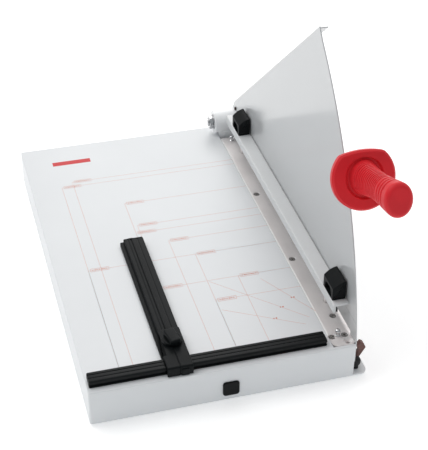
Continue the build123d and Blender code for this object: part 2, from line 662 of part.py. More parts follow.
with BuildPart() as handle_stud:
    with BuildSketch(reach_plane(arm_reach - stud_seat)):
        with Locations((stud_x, 0.0)):
            Circle(stud_radius)
    extrude(amount=stud_seat + stud_length)

# Hand disc with a flattened top, and the waisted grip that leaves its front face
with BuildPart() as hand_grip:
    with BuildSketch(reach_plane(arm_reach)):
        with Locations((handle_x, 0.0)):
            Circle(disc_radius)
        with Locations((handle_x, disc_flat + disc_radius)):
            Rectangle(4 * disc_radius, 2 * disc_radius, mode=Mode.SUBTRACT)
    extrude(amount=disc_thickness)
    chamfer(hand_grip.faces().sort_by(Axis.Y)[0].edges(), length=4.0)
    grip_sections = [(-2.0, 18.5, 16.0), (20.0, 17.5, 15.0), (52.0, 16.5, 14.5), (80.0, 19.0, 16.2),
                     (grip_length, grip_tall, grip_slim)]
    for distance, tall, slim in grip_sections:
        with BuildSketch(grip_plane(distance)):
            Ellipse(slim, tall)
    loft()
    fillet(hand_grip.faces().sort_by(Axis.Y)[0].edges(), radius=end_round)
    with BuildSketch(reach_plane(arm_reach)):
        with Locations((stud_x, 0.0)):
            Circle(stud_radius)
    extrude(amount=stud_length + 1.0, mode=Mode.SUBTRACT)

# ---------------------------------------------------------------- pressing bar
with BuildPart() as clamp_angle:
    box(cut_x - bar_left, cut_x - bar_right, stop_y + bar_front, stop_y + bar_back,
        top_z + bar_top - bar_depth, top_z + bar_top)
    fillet(clamp_angle.edges().filter_by(Axis.Y).group_by(Axis.Z)[-1].sort_by(Axis.X)[0], radius=1.5)
    fillet(clamp_angle.edges().filter_by(Axis.Y).group_by(Axis.Z)[-1].sort_by(Axis.X)[-1], radius=0.6)
    box(cut_x - bar_left + bar_sheet, cut_x, stop_y + bar_front - 1.0,
        stop_y + bar_back + 1.0, top_z, web_z, Mode.SUBTRACT)
    bar_screw_spots = [(bar_mid_x, stop_y + y + bar_grip_length / 2 + side)
                       for y in (grip_front_y, grip_rear_y) for side in (-grip_screw_side, grip_screw_side)]
    post(bar_screw_spots, 2.0 + screw_gap, web_z, web_z + bar_sheet, Mode.SUBTRACT)


def grip_block(y):
    """A pressing-bar grip's body: an arched wedge, high on the guard's side."""
    left = cut_x - bar_left + bar_grip_inset
    right = cut_x - bar_right - bar_grip_inset
    low = top_z + bar_top
    with BuildSketch(Plane.XZ.offset(-y - bar_grip_length)) as section:
        with BuildLine():
            Polyline((left, low + bar_grip_low), (left, low), (right, low), (right, low + bar_grip_high))
            ThreePointArc((right, low + bar_grip_high),
                          (bar_mid_x, low + (bar_grip_low + bar_grip_high) / 2 + 2.0), (left, low + bar_grip_low))
        make_face()
    extrude(section.sketch, amount=bar_grip_length)


def grip_cuts(y):
    """The finger opening in the grip's low side, and its two screw holes from below."""
    left = cut_x - bar_left + bar_grip_inset
    low = top_z + bar_top
    with BuildSketch(Plane.YZ.offset(left)) as opening:
        with Locations((y + bar_grip_length / 2, low + opening_height / 2 + 0.8)):
            RectangleRounded(bar_grip_length - 12.0, opening_height, 4.0)
    extrude(opening.sketch, amount=opening_depth, mode=Mode.SUBTRACT)
    post([(bar_mid_x, y + bar_grip_length / 2 + side) for side in (-grip_screw_side, grip_screw_side)],
         2.0, low, low + 9.0, Mode.SUBTRACT)


with BuildPart() as front_bar_grip:
    grip_block(stop_y + grip_front_y)
    fillet(front_bar_grip.edges().filter_by(Axis.Z), radius=1.5)
    grip_cuts(stop_y + grip_front_y)

with BuildPart() as rear_bar_grip:
    grip_block(stop_y + grip_rear_y)
    fillet(rear_bar_grip.edges().filter_by(Axis.Z), radius=1.5)
    grip_cuts(stop_y + grip_rear_y)

with BuildPart() as bar_grip_screws:
    for spot in bar_screw_spots:
        post([spot], 2.0, web_z, web_z + bar_sheet + 8.0)
        post([spot], 3.8, web_z - 2.4, web_z)

with BuildPart() as guide_pins:
    post(guide_spots, pin_radius, pin_bottom, web_z)

with BuildPart() as pressing_strip:
    strip_left = cut_x - bar_left + bar_sheet
    box(strip_left, strip_left + 3.0, stop_y + bar_front + 1.0, stop_y + bar_back - 14.0,
        top_z + bar_top - bar_depth + 0.1, top_z + bar_top - bar_depth + 5.0)

# ---------------------------------------------------------------- side gauge
gauge_x = cut_x - gauge_left
gauge_right = gauge_x + gauge_width
gauge_foot = top_z + slide_gap
knob_spot = (gauge_x + gauge_width / 2 + 1.5, stop_y + 26.0)
with BuildPart() as gauge_arm:
    box(gauge_x, gauge_right, stop_y + slide_gap, stop_y + gauge_back, gauge_foot, top_z + gauge_arm_top)
    # Lower ledge along the left side, and grooves along the top
    box(gauge_x - 1.0, gauge_x + 5.0, stop_y, stop_y + gauge_back + 1.0, top_z + 5.0, top_z + 20.0, Mode.SUBTRACT)
    for groove_x in (gauge_x + 12.0, gauge_x + 17.0, gauge_x + 24.0):
        box(groove_x - 0.6, groove_x + 0.6, stop_y + gauge_head_back, stop_y + gauge_back + 1.0,
            top_z + gauge_arm_top - 1.0, top_z + 20.0, Mode.SUBTRACT)
    post([knob_spot], 3.0 + screw_gap, top_z, top_z + gauge_arm_top, Mode.SUBTRACT)
    post([knob_spot], 6.4, top_z, top_z + 1.6, Mode.SUBTRACT)
    post([(gauge_x + 9.5, stop_y + 8.0), (gauge_right - 6.0, stop_y + 8.0)], 1.6, top_z, top_z + gauge_arm_top,
         Mode.SUBTRACT)

with BuildPart() as gauge_head:
    # Saddle over the rail and the arm's front end
    rail_clear_z = top_z + rail_height + slide_gap
    box(gauge_x, gauge_right, stop_y - gauge_front, stop_y + slide_gap, gauge_foot, top_z + gauge_head_top)
    box(gauge_x + 5.0, gauge_right, stop_y + slide_gap, stop_y + gauge_head_back, top_z + gauge_arm_top,
        top_z + gauge_head_top)
    fillet(gauge_head.edges().filter_by(Axis.X).group_by(Axis.Z)[-1].sort_by(Axis.Y)[0], radius=2.0)
    box(gauge_x - 1.0, gauge_right + 1.0, stop_y - rail_depth - slide_gap, stop_y + slide_gap, top_z,
        rail_clear_z, Mode.SUBTRACT)
    post([knob_spot], 3.0 + screw_gap, top_z, top_z + 20.0, Mode.SUBTRACT)
    seam_x = gauge_x + gauge_width / 2
    box(seam_x - 0.6, seam_x + 0.6, stop_y - gauge_front, stop_y + 12.0, top_z + gauge_head_top - 1.0,
        top_z + 20.0, Mode.SUBTRACT)
    post([(gauge_x + 9.5, stop_y + 8.0), (gauge_right - 6.0, stop_y + 8.0)], 1.5, top_z + gauge_arm_top,
         top_z + gauge_arm_top + 2.5, Mode.SUBTRACT)

with BuildPart() as gauge_head_screws:
    for spot in [(gauge_x + 9.5, stop_y + 8.0), (gauge_right - 6.0, stop_y + 8.0)]:
        post([spot], 1.5, top_z + 2.4, top_z + gauge_arm_top + 2.4)

# Pad that the knob's stud presses on the table
with BuildPart() as clamp_pad:
    post([knob_spot], 6.0, gauge_foot - 0.1, top_z + 1.3)

with BuildPart() as guide_tongue:
    # Tongue that runs in the rail's front groove
    box(seam_x + 2.0, seam_x + 12.0, stop_y - rail_depth - slide_gap, stop_y - rail_depth + 1.6,
        top_z + 2.4, top_z + 4.6)

with BuildPart() as gauge_end_cap:
    box(gauge_x, gauge_right, stop_y + gauge_back, stop_y + gauge_back + 2.0, gauge_foot, top_z + 5.0)
    box(gauge_x + 5.0, gauge_right, stop_y + gauge_back, stop_y + gauge_back + 2.0, top_z + 5.0,
        top_z + gauge_arm_top)

with BuildPart() as gauge_knob:
    post([knob_spot], knob_radius, top_z + gauge_head_top + 0.2, top_z + gauge_head_top + 5.0)
    fillet(gauge_knob.edges().group_by(Axis.Z)[-1], radius=1.5)
    with BuildSketch(Plane.XY.offset(top_z + gauge_head_top + 5.0)):
        with Locations(knob_spot):
            SlotOverall(2 * knob_radius - 2.0, 6.0, rotation=100)
    extrude(amount=5.0)
    post([knob_spot], 3.0, top_z + gauge_head_top + 0.2, top_z + gauge_head_top + 6.0, Mode.SUBTRACT)

with BuildPart() as knob_stud:
    post([knob_spot], 3.0, top_z + 1.4, top_z + gauge_head_top + 6.0)

# ---------------------------------------------------------------- one file for each piece
pieces = {
    "base_shell": base_shell, "base_plate": base_plate, "cross_channels": cross_channels,
    "plate_screws": plate_screws, "feet": feet, "foot_screws": foot_screws, "foot_nuts": foot_nuts,
    "support_beam": support_beam, "bed_knife": bed_knife, "bed_knife_screws": bed_knife_screws,
    "bed_posts": bed_posts, "guide_sleeves": guide_sleeves, "clamp_springs": clamp_springs,
    "front_plug": front_plug, "front_rail": front_rail, "rail_screws": rail_screws,
    "pivot_housing": pivot_housing, "housing_screws": housing_screws, "pivot_bushes": pivot_bushes,
    "guard_plate": guard_plate, "guard_bolts": guard_bolts, "guard_bolt_nuts": guard_bolt_nuts,
    "guard_screws": guard_screws, "stop_buffer": stop_buffer, "latch_bracket": latch_bracket,
    "latch_pin": latch_pin, "latch": latch, "pivot_axle": pivot_axle, "disc_washers": disc_washers,
    "lock_nut": lock_nut, "hub_spacer": hub_spacer, "blade_carrier": blade_carrier,
    "upper_knife": upper_knife, "knife_screws": knife_screws, "handle_stud": handle_stud,
    "hand_grip": hand_grip, "clamp_angle": clamp_angle, "front_bar_grip": front_bar_grip,
    "rear_bar_grip": rear_bar_grip, "bar_grip_screws": bar_grip_screws, "guide_pins": guide_pins,
    "pressing_strip": pressing_strip, "gauge_arm": gauge_arm, "gauge_head": gauge_head,
    "gauge_head_screws": gauge_head_screws, "clamp_pad": clamp_pad, "guide_tongue": guide_tongue, "gauge_end_cap": gauge_end_cap,
    "gauge_knob": gauge_knob, "knob_stud": knob_stud,
}
for name, piece in pieces.items():
    piece.part.label = name
    export_step(piece.part, f"parts/{name}.step")
print("cut_x", cut_x, "stop_y", stop_y, "top_z", top_z)
print("pivot", axis_y, axis_z, "latch", latch_x, latch_z, "knob", knob_spot)
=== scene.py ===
"""Looks of a guillotine paper cutter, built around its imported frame.

Every piece is a surface worked out with numpy in the frame's own metres: +X runs across the table to the
knife, +Y along the cut away from the user, and +Z up. Places come from the boxes of the frame's nodes.
"""
import json
import math

import bpy
import numpy as np
from bpy.props import FloatProperty, FloatVectorProperty, IntProperty, PointerProperty
from bpy.types import Operator, Panel, PropertyGroup
from mathutils import Matrix, Vector


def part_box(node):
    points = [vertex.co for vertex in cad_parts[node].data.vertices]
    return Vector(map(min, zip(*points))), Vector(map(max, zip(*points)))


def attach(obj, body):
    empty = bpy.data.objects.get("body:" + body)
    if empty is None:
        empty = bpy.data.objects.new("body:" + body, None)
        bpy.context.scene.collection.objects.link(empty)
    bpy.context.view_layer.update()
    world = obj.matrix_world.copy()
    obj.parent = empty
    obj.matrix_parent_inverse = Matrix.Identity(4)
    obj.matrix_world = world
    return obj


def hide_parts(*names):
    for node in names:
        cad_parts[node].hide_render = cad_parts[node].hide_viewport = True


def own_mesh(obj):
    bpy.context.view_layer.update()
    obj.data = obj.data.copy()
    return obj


bl_info = {
    "name": "Guillotine Paper Cutter",
    "version": (1, 0, 0),
    "blender": (4, 5, 0),
    "location": "3D View > Sidebar > Paper Cutter",
    "description": "Handle, grips, side gauge, table print and finishes of a guillotine paper cutter",
    "category": "Object",
}

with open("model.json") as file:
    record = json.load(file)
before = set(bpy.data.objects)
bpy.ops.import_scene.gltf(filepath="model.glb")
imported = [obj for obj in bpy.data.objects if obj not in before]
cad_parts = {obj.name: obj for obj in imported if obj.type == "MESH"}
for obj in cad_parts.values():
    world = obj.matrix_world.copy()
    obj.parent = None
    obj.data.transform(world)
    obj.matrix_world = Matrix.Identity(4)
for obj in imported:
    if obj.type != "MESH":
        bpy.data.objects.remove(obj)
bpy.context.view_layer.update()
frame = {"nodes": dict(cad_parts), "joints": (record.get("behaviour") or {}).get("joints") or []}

MM = 0.001
CUT_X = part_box("bed_knife")[1].x            # cutting plane
STOP_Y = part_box("front_rail")[1].y          # inner face of the front stop
TOP_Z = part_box("front_rail")[0].z           # table top
PIVOT = next(joint for joint in frame["joints"] if joint["name"] == "arm_swing")["pos_m"]


# ---------------------------------------------------------------- shapes
def node_points(name):
    """All vertices of one frame node, as an array."""
    mesh = frame["nodes"][name].data
    flat = np.zeros(len(mesh.vertices) * 3, np.float32)
    mesh.vertices.foreach_get("co", flat)
    return flat.reshape(-1, 3).astype(float)


def smooth_step(value, start, end):
    """0 before start, 1 after end, and an S-shaped rise between them."""
    t = np.clip((value - start) / (end - start), 0.0, 1.0)
    return t * t * (3.0 - 2.0 * t)


def make_piece(name, points, faces, body, material, sharp_angle=38.0):
    """One mesh object at the origin, facing outwards: an inside-out set of faces is turned round."""
    points = np.asarray(points, float)
    fans = np.array([(face[0], face[i], face[i + 1]) for face in faces for i in range(1, len(face) - 1)])
    first, second, third = points[fans[:, 0]], points[fans[:, 1]], points[fans[:, 2]]
    if np.einsum("ij,ij->i", first, np.cross(second, third)).sum() < 0:
        faces = [face[::-1] for face in faces]
    mesh = bpy.data.meshes.new(name)
    mesh.from_pydata(points.tolist(), [], faces)
    mesh.shade_smooth()
    mesh.set_sharp_from_angle(angle=math.radians(sharp_angle))
    mesh.materials.append(material)
    piece = bpy.data.objects.new(name, mesh)
    bpy.context.scene.collection.objects.link(piece)
    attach(piece, body)
    return piece


def ring_faces(rows, columns, first=0):
    """Quads of a tube: rows rings of columns points each, every ring joined to the next and to itself."""
    row, column = np.meshgrid(np.arange(rows - 1), np.arange(columns), indexing="ij")
    beside = (column + 1) % columns
    quads = np.stack([row * columns + column, row * columns + beside,
                      (row + 1) * columns + beside, (row + 1) * columns + column], -1)
    return (quads.reshape(-1, 4) + first).tolist()


def closed_tube(rings, first=0):
    """Points and faces of a stack of rings whose two ends are closed by one face each."""
    rows, columns = rings.shape[:2]
    faces = ring_faces(rows, columns, first)
    faces.append([first + i for i in range(columns)][::-1])
    faces.append([first + (rows - 1) * columns + i for i in range(columns)])
    return rings.reshape(-1, 3), faces


def joined(parts):
    """Several (points, faces) pairs as one pair, with the later ones' face numbers moved on."""
    points, faces, count = [], [], 0
    for part_points, part_faces in parts:
        points.append(part_points)
        faces += [[index + count for index in face] for face in part_faces]
        count += len(part_points)
    return np.concatenate(points), faces


def rounded_outline(corners, spacing):
    """A closed outline from (u, v, radius) corners, counter-clockwise.

    Each corner is an arc tangent to its two sides. The outline is then divided evenly, a point at about
    every spacing, and each point has its outward normal.
    """
    spots = np.array([corner[:2] for corner in corners], float)
    radii = [corner[2] for corner in corners]
    points = []
    for index, (spot, radius) in enumerate(zip(spots, radii)):
        before = spots[index - 1] - spot
        after = spots[(index + 1) % len(spots)] - spot
        before_length, after_length = np.linalg.norm(before), np.linalg.norm(after)
        before, after = before / before_length, after / after_length
        half = math.acos(np.clip(before @ after, -1.0, 1.0)) / 2
        reach = min(radius / math.tan(half), 0.49 * before_length, 0.49 * after_length)
        bend = reach * math.tan(half)
        middle = before + after
        center = spot + middle / np.linalg.norm(middle) * bend / math.sin(half)
        start, end = spot + before * reach - center, spot + after * reach - center
        sweep = math.atan2(start[0] * end[1] - start[1] * end[0], start @ end)
        turns = np.linspace(0.0, sweep, 9)[:, None]
        side = np.array([-start[1], start[0]])
        points.append(center + start * np.cos(turns) + side * np.sin(turns))
    loop = np.concatenate(points)
    loop = np.concatenate([loop, loop[:1]])
    steps = np.linalg.norm(np.diff(loop, axis=0), axis=1)
    length = np.concatenate([[0.0], np.cumsum(steps)])
    places = np.linspace(0.0, length[-1], max(int(length[-1] / spacing), 24), endpoint=False)
    outline = np.stack([np.interp(places, length, loop[:, i]) for i in (0, 1)], -1)
    along = np.roll(outline, -1, axis=0) - np.roll(outline, 1, axis=0)
    normals = np.stack([along[:, 1], -along[:, 0]], -1)
    return outline, normals / np.linalg.norm(normals, axis=1)[:, None]


def end_stations(start, end, rounding, spacing):
    """Places along a run and how far the outline draws in at each: a quarter circle at both ends."""
    turn = np.linspace(0.0, math.pi / 2, 7)
    into = rounding * (1.0 - np.cos(turn))
    inset = rounding * (1.0 - np.sin(turn))
    count = max(int((end - start - 2 * rounding) / spacing), 1)
    middle = np.linspace(start + rounding, end - rounding, count + 1)[1:-1]
    places = np.concatenate([start + into, middle, (end - into)[::-1]])
    insets = np.concatenate([inset, np.zeros(len(middle)), inset[::-1]])
    return places, insets


def carried(corners, start, end, rounding, spacing, along="Y", row_spacing=0.004):
    """A rounded outline carried straight along X or Y, drawn in at both ends by a quarter circle."""
    outline, normals = rounded_outline(corners, spacing)
    places, insets = end_stations(start, end, rounding, row_spacing)
    section = outline[None] - normals[None] * insets[:, None, None]
    run = np.broadcast_to(places[:, None], section.shape[:2])
    if along == "Y":
        return np.stack([section[..., 0], run, section[..., 1]], -1)
    return np.stack([run, section[..., 0], section[..., 1]], -1)


def turned(profile, columns, center, sides=0, flat_radius=0.0, axis="Z"):
    """A (distance, radius) profile turned about an axis; with sides given, a prism's flats cut it down.

    At each angle the radius is the smaller of the profile's and the distance to the nearest flat.
    """
    profile = np.array(profile, float)
    angle = np.linspace(0.0, 2 * math.pi, columns, endpoint=False)
    radius = np.broadcast_to(profile[:, 1:2], (len(profile), columns)).copy()
    if sides:
        wedge = 2 * math.pi / sides
        radius = np.minimum(radius, flat_radius / np.cos((angle % wedge) - wedge / 2)[None])
    height = np.broadcast_to(profile[:, :1], radius.shape)
    across, up = radius * np.cos(angle), radius * np.sin(angle)
    order = [across, up, height] if axis == "Z" else [height, across, up]
    return np.stack(order, -1) + np.array(center)


def bars(starts, ends, width, low, high):
    """Thin flat bars between pairs of (x, y) points, each a closed box from low to high."""
    starts, ends = np.array(starts, float), np.array(ends, float)
    run = ends - starts
    run = run / np.linalg.norm(run, axis=1)[:, None]
    side = np.stack([-run[:, 1], run[:, 0]], -1) * width / 2
    loop = np.stack([starts - side, ends - side, ends + side, starts + side], 1)
    levels = [np.concatenate([loop, np.full(loop.shape[:2] + (1,), z)], -1) for z in (low, high)]
    points = np.concatenate(levels, 1)
    box_faces = [(3, 2, 1, 0), (4, 5, 6, 7), (0, 1, 5, 4), (1, 2, 6, 5), (2, 3, 7, 6), (3, 0, 4, 7)]
    faces = (np.array(box_faces)[None] + 8 * np.arange(len(points))[:, None, None]).reshape(-1, 4)
    return points.reshape(-1, 3), faces.tolist()


# ---------------------------------------------------------------- finishes
def set_inputs(node, **values):
    """Set some of a node's inputs by name, with an underscore for a space, and give the node back."""
    for name, value in values.items():
        node.inputs[name.replace("_", " ")].default_value = value
    return node


def finish(name, color, roughness, metallic=0.0, coat=0.0, specular=0.5, tone=0.06, tone_scale=30.0,
           rough_spread=0.05, grain_scale=900.0, grain_depth=0.00002, grain_stretch=(1.0, 1.0, 1.0),
           brushed=0.0):
    """A procedural finish: broad noise shifts tone a little, fine noise shifts gloss and is its grain."""
    material = bpy.data.materials.new(name)
    material.use_nodes = True
    nodes, links = material.node_tree.nodes, material.node_tree.links
    shader = nodes["Principled BSDF"]
    set_inputs(shader, Metallic=metallic, Coat_Weight=coat, Coat_Roughness=0.12, Specular_IOR_Level=specular,
               Anisotropic=brushed)
    place = nodes.new("ShaderNodeTexCoord")
    broad = set_inputs(nodes.new("ShaderNodeTexNoise"), Scale=tone_scale, Detail=4.0)
    links.new(place.outputs["Object"], broad.inputs["Vector"])
    ramp = nodes.new("ShaderNodeValToRGB")
    darker, paler = ramp.color_ramp.elements
    darker.position, paler.position = 0.3, 0.7
    darker.color = [c * (1.0 - tone) for c in color] + [1.0]
    paler.color = [min(c * (1.0 + tone), 1.0) for c in color] + [1.0]
    links.new(broad.outputs["Fac"], ramp.inputs["Fac"])
    links.new(ramp.outputs["Color"], shader.inputs["Base Color"])
    stretch = set_inputs(nodes.new("ShaderNodeMapping"), Scale=grain_stretch)
    links.new(place.outputs["Object"], stretch.inputs["Vector"])
    grain = set_inputs(nodes.new("ShaderNodeTexNoise"), Scale=grain_scale, Detail=3.0)
    links.new(stretch.outputs["Vector"], grain.inputs["Vector"])
    gloss = set_inputs(nodes.new("ShaderNodeMapRange"), To_Min=max(roughness - rough_spread, 0.02),
                       To_Max=roughness + rough_spread)
    links.new(grain.outputs["Fac"], gloss.inputs["Value"])
    links.new(gloss.outputs["Result"], shader.inputs["Roughness"])
    bump = set_inputs(nodes.new("ShaderNodeBump"), Distance=grain_depth, Strength=0.6)
    links.new(grain.outputs["Fac"], bump.inputs["Height"])
    links.new(bump.outputs["Normal"], shader.inputs["Normal"])
    return material


GUARD_FOLD = 0.0285         # height of the guard's pressed line above the table
FOLD_HALF = 0.0008          # half the width that the line rises over
HIGHLIGHT_FACING = (-0.707, 0.0, 0.707)       # direction of the faces that get the painted highlight: the ground bevels, facing up to the left


def crease(material, height, depth):
    """A shallow pressed line across a sheet at one height, added to the finish's bump."""
    nodes, links = material.node_tree.nodes, material.node_tree.links
    place = nodes.new("ShaderNodeTexCoord")
    parts = nodes.new("ShaderNodeSeparateXYZ")
    links.new(place.outputs["Object"], parts.inputs["Vector"])
    fold = nodes.new("ShaderNodeMapRange")
    fold.interpolation_type = "SMOOTHSTEP"
    set_inputs(fold, From_Min=height - FOLD_HALF, From_Max=height + FOLD_HALF)
    links.new(parts.outputs["Z"], fold.inputs["Value"])
    bump = set_inputs(nodes.new("ShaderNodeBump"), Distance=depth, Strength=1.0)
    links.new(fold.outputs["Result"], bump.inputs["Height"])
    grain = next(node for node in nodes if node.bl_idname == "ShaderNodeBump" and node != bump)
    links.new(bump.outputs["Normal"], grain.inputs["Normal"])


def paint_bevel_highlight(material):
    """Painted highlight on the ground bevels: faces that slope up to the left are painted paler than the
    rest.
    """
    nodes, links = material.node_tree.nodes, material.node_tree.links
    shader = nodes["Principled BSDF"]
    tone = shader.inputs["Base Color"].links[0].from_socket
    facing = nodes.new("ShaderNodeNewGeometry")
    toward = nodes.new("ShaderNodeVectorMath")
    toward.operation = "DOT_PRODUCT"
    toward.inputs[1].default_value = HIGHLIGHT_FACING
    links.new(facing.outputs["True Normal"], toward.inputs[0])
    share = set_inputs(nodes.new("ShaderNodeMapRange"), From_Min=0.93, From_Max=0.97)
    links.new(toward.outputs["Value"], share.inputs["Value"])
    highlight_blend = nodes.new("ShaderNodeMix")
    highlight_blend.data_type = "RGBA"
    links.new(share.outputs["Result"], highlight_blend.inputs["Factor"])
    links.new(tone, highlight_blend.inputs[6])
    # colour of the painted highlight
    highlight_blend.inputs[7].default_value = (0.95, 0.94, 0.93, 1.0)
    links.new(highlight_blend.outputs[2], shader.inputs["Base Color"])


class FinishSettings(PropertyGroup):
    """Colours of the cutter's finishes."""
    table_paint: FloatVectorProperty(name="Table paint", description="Powder coat of the base and table",
                                     subtype="COLOR", size=3, default=(0.74, 0.755, 0.77))
    guard_paint: FloatVectorProperty(name="Guard paint", description="Glossier paint of the blade guard",
                                     subtype="COLOR", size=3, default=(0.535, 0.545, 0.555))
    bar_paint: FloatVectorProperty(name="Bar paint", description="Paint of the pressing bar and blade arm",
                                   subtype="COLOR", size=3, default=(0.70, 0.71, 0.715))
    housing_paint: FloatVectorProperty(name="Housing paint", description="Paint of the pivot housing",
                                       subtype="COLOR", size=3, default=(0.96, 0.97, 0.98))
    steel: FloatVectorProperty(name="Ground steel", description="Bed strip and knife",
                               subtype="COLOR", size=3, default=(0.84, 0.80, 0.79))
    black: FloatVectorProperty(name="Black plastic", description="Rail, gauge and bar grips",
                               subtype="COLOR", size=3, default=(0.0065, 0.0078, 0.0085))
    red: FloatVectorProperty(name="Handle red", description="Hand grip's moulded plastic",
                             subtype="COLOR", size=3, default=(0.69, 0.022, 0.031))
    ink: FloatVectorProperty(name="Print ink", description="Format lines and tags",
                             subtype="COLOR", size=3, default=(0.66, 0.30, 0.22))
    tag_ink: FloatVectorProperty(name="Tag ink", description="Tags of the paper formats",
                                 subtype="COLOR", size=3, default=(0.60, 0.17, 0.09))
    red_ink: FloatVectorProperty(name="Red ink", description="The plain bar at the back of the table",
                                 subtype="COLOR", size=3, default=(0.62, 0.03, 0.035))


def make_finishes(colors):
    """All finishes by name, from the colours in the settings."""
    guard = finish("guard_gloss_paint", colors.guard_paint, 0.15, rough_spread=0.02, coat=0.4, tone=0.015,
                   tone_scale=6.0, grain_scale=700.0, grain_depth=0.00001)
    crease(guard, TOP_Z + GUARD_FOLD, 0.0003)
    ground = finish("ground_steel", colors.steel, 0.42, metallic=0.30, tone=0.05, tone_scale=25.0,
                    grain_scale=2500.0, grain_depth=0.000012, grain_stretch=(1.0, 0.02, 1.0), brushed=0.5)
    # painted highlight on the steel's bevels that face up to the left
    paint_bevel_highlight(ground)
    return {
        "table": finish("table_powder_coat", colors.table_paint, 0.42, coat=0.08, tone=0.015, tone_scale=9.0,
                        grain_scale=1500.0, grain_depth=0.000016),
        "guard": guard,
        "bar": finish("bar_satin_paint", colors.bar_paint, 0.30, coat=0.15, tone=0.02, tone_scale=14.0,
                      grain_scale=1200.0, grain_depth=0.000014),
        "housing": finish("housing_paint", colors.housing_paint, 0.34, coat=0.1, tone=0.02, tone_scale=14.0,
                          grain_scale=1200.0, grain_depth=0.000014),
        "steel": ground,
        "zinc": finish("zinc_plate", (0.50, 0.51, 0.53), 0.38, metallic=1.0, tone=0.10, tone_scale=60.0),
        "screw": finish("bright_zinc_screws", (0.55, 0.53, 0.51), 0.26, metallic=1.0, tone=0.08,
                        tone_scale=200.0),
        "chrome": finish("polished_chrome", (0.62, 0.62, 0.63), 0.07, metallic=1.0, tone=0.02,
                         rough_spread=0.02, grain_depth=0.000004),
        "blackened": finish("blackened_bolts", (0.05, 0.03, 0.025), 0.35, metallic=0.6, tone=0.2),
        "bronze": finish("bush_bronze", (0.55, 0.36, 0.18), 0.40, metallic=1.0, tone=0.12, tone_scale=120.0),
        "rubber": finish("matt_rubber", (0.018, 0.018, 0.019), 0.72, specular=0.35, tone=0.2,
                         grain_depth=0.00004),
        "plastic": finish("grained_black_plastic", colors.black, 0.38, specular=0.085, tone=0.18,
                          tone_scale=40.0, rough_spread=0.08, grain_scale=1600.0, grain_depth=0.00003),
        "rail": finish("black_rail", colors.black, 0.40, specular=0.15, tone=0.2, tone_scale=30.0,
                       grain_scale=2200.0, grain_depth=0.00002, grain_stretch=(0.04, 1.0, 1.0)),
        "red": finish("red_handle_plastic", colors.red, 0.38, specular=0.22, tone=0.05,
                      tone_scale=45.0, grain_scale=1300.0, grain_depth=0.00002),
        "brown": finish("brown_latch_plastic", (0.13, 0.045, 0.032), 0.38, tone=0.15, tone_scale=90.0),
        "ink": finish("print_ink", colors.ink, 0.55, tone=0.12, tone_scale=400.0),
        "tag_ink": finish("tag_ink", colors.tag_ink, 0.55, tone=0.2, tone_scale=500.0),
        "red_ink": finish("red_print_ink", colors.red_ink, 0.5, tone=0.05, tone_scale=200.0),
    }


NODE_FINISHES = {
    "table": ["base_shell", "base_plate"],
    "guard": ["guard_plate"],
    "bar": ["clamp_angle", "blade_carrier"],
    "housing": ["pivot_housing"],
    "steel": ["bed_knife", "upper_knife", "guide_pins", "hub_spacer"],
    "zinc": ["cross_channels", "support_beam", "guide_sleeves", "latch_bracket"],
    "screw": ["plate_screws", "foot_screws", "foot_nuts", "bed_knife_screws", "rail_screws", "housing_screws",
              "guard_screws", "knife_screws", "bar_grip_screws", "gauge_head_screws", "handle_stud",
              "knob_stud", "latch_pin"],
    "chrome": ["pivot_axle", "disc_washers"],
    "blackened": ["guard_bolts", "guard_bolt_nuts"],
    "bronze": ["pivot_bushes"],
    "rubber": ["feet", "stop_buffer", "pressing_strip", "clamp_pad"],
    "plastic": ["front_plug", "guide_tongue"],
    "brown": ["latch"],
}

finishes = {}


class CUTTER_OT_finishes(Operator):
    """Make the finishes and give each frame node its own"""
    bl_idname = "cutter.finishes"
    bl_label = "Finishes"

    def execute(self, context):
        finishes.update(make_finishes(context.scene.cutter_finishes))
        for key, names in NODE_FINISHES.items():
            for name in names:
                mesh = frame["nodes"][name].data
                mesh.materials.clear()
                mesh.materials.append(finishes[key])
        return {"FINISHED"}


# ---------------------------------------------------------------- hand grip
class HandleSettings(PropertyGroup):
    """Sizes of the red hand grip."""
    flat: FloatProperty(name="Flat", description="Axis to the middle of the disc's flattened top",
                        unit="LENGTH", default=0.0325)
    flat_bow: FloatProperty(name="Flat's bow", description="Radius that the flattened top bows out to",
                            unit="LENGTH", default=0.096)
    disc_thickness: FloatProperty(name="Disc thickness", unit="LENGTH", default=0.009,
                                  description="Rear face to front face")
    bevel: FloatProperty(name="Rim bevel", description="Width of the bevel round the disc's front",
                         unit="LENGTH", default=0.0024)
    fillet: FloatProperty(name="Hub fillet", description="Radius where the grip leaves the disc",
                          unit="LENGTH", default=0.0045)
    hub_sink: FloatProperty(name="Hub sink", description="Depth of the ring sunk round the grip's base",
                            unit="LENGTH", default=0.0034)
    droop: FloatProperty(name="Droop", description="How far the grip leans down from the arm's line",
                         subtype="ANGLE", default=math.radians(4.8))
    grip_shift: FloatProperty(name="Grip shift", description="Grip's axis to the right of the disc's",
                              unit="LENGTH", default=0.0008)
    rib_count: IntProperty(name="Ribs", description="Ribs along the grip's side", default=14)
    rib_depth: FloatProperty(name="Rib depth", description="Depth of the grooves between ribs",
                             unit="LENGTH", default=0.0026)


def disc_radius_at(angle, radius, flat, bow):
    """The disc's outline: a circle, cut at the top by a wide arc that passes at flat above the axis."""
    lift = flat - bow
    rise = np.sin(angle)
    to_arc = lift * rise + np.sqrt(np.maximum(bow ** 2 - (lift * np.cos(angle)) ** 2, 0.0))
    return np.where(rise > 0.0, np.minimum(radius, to_arc), radius)


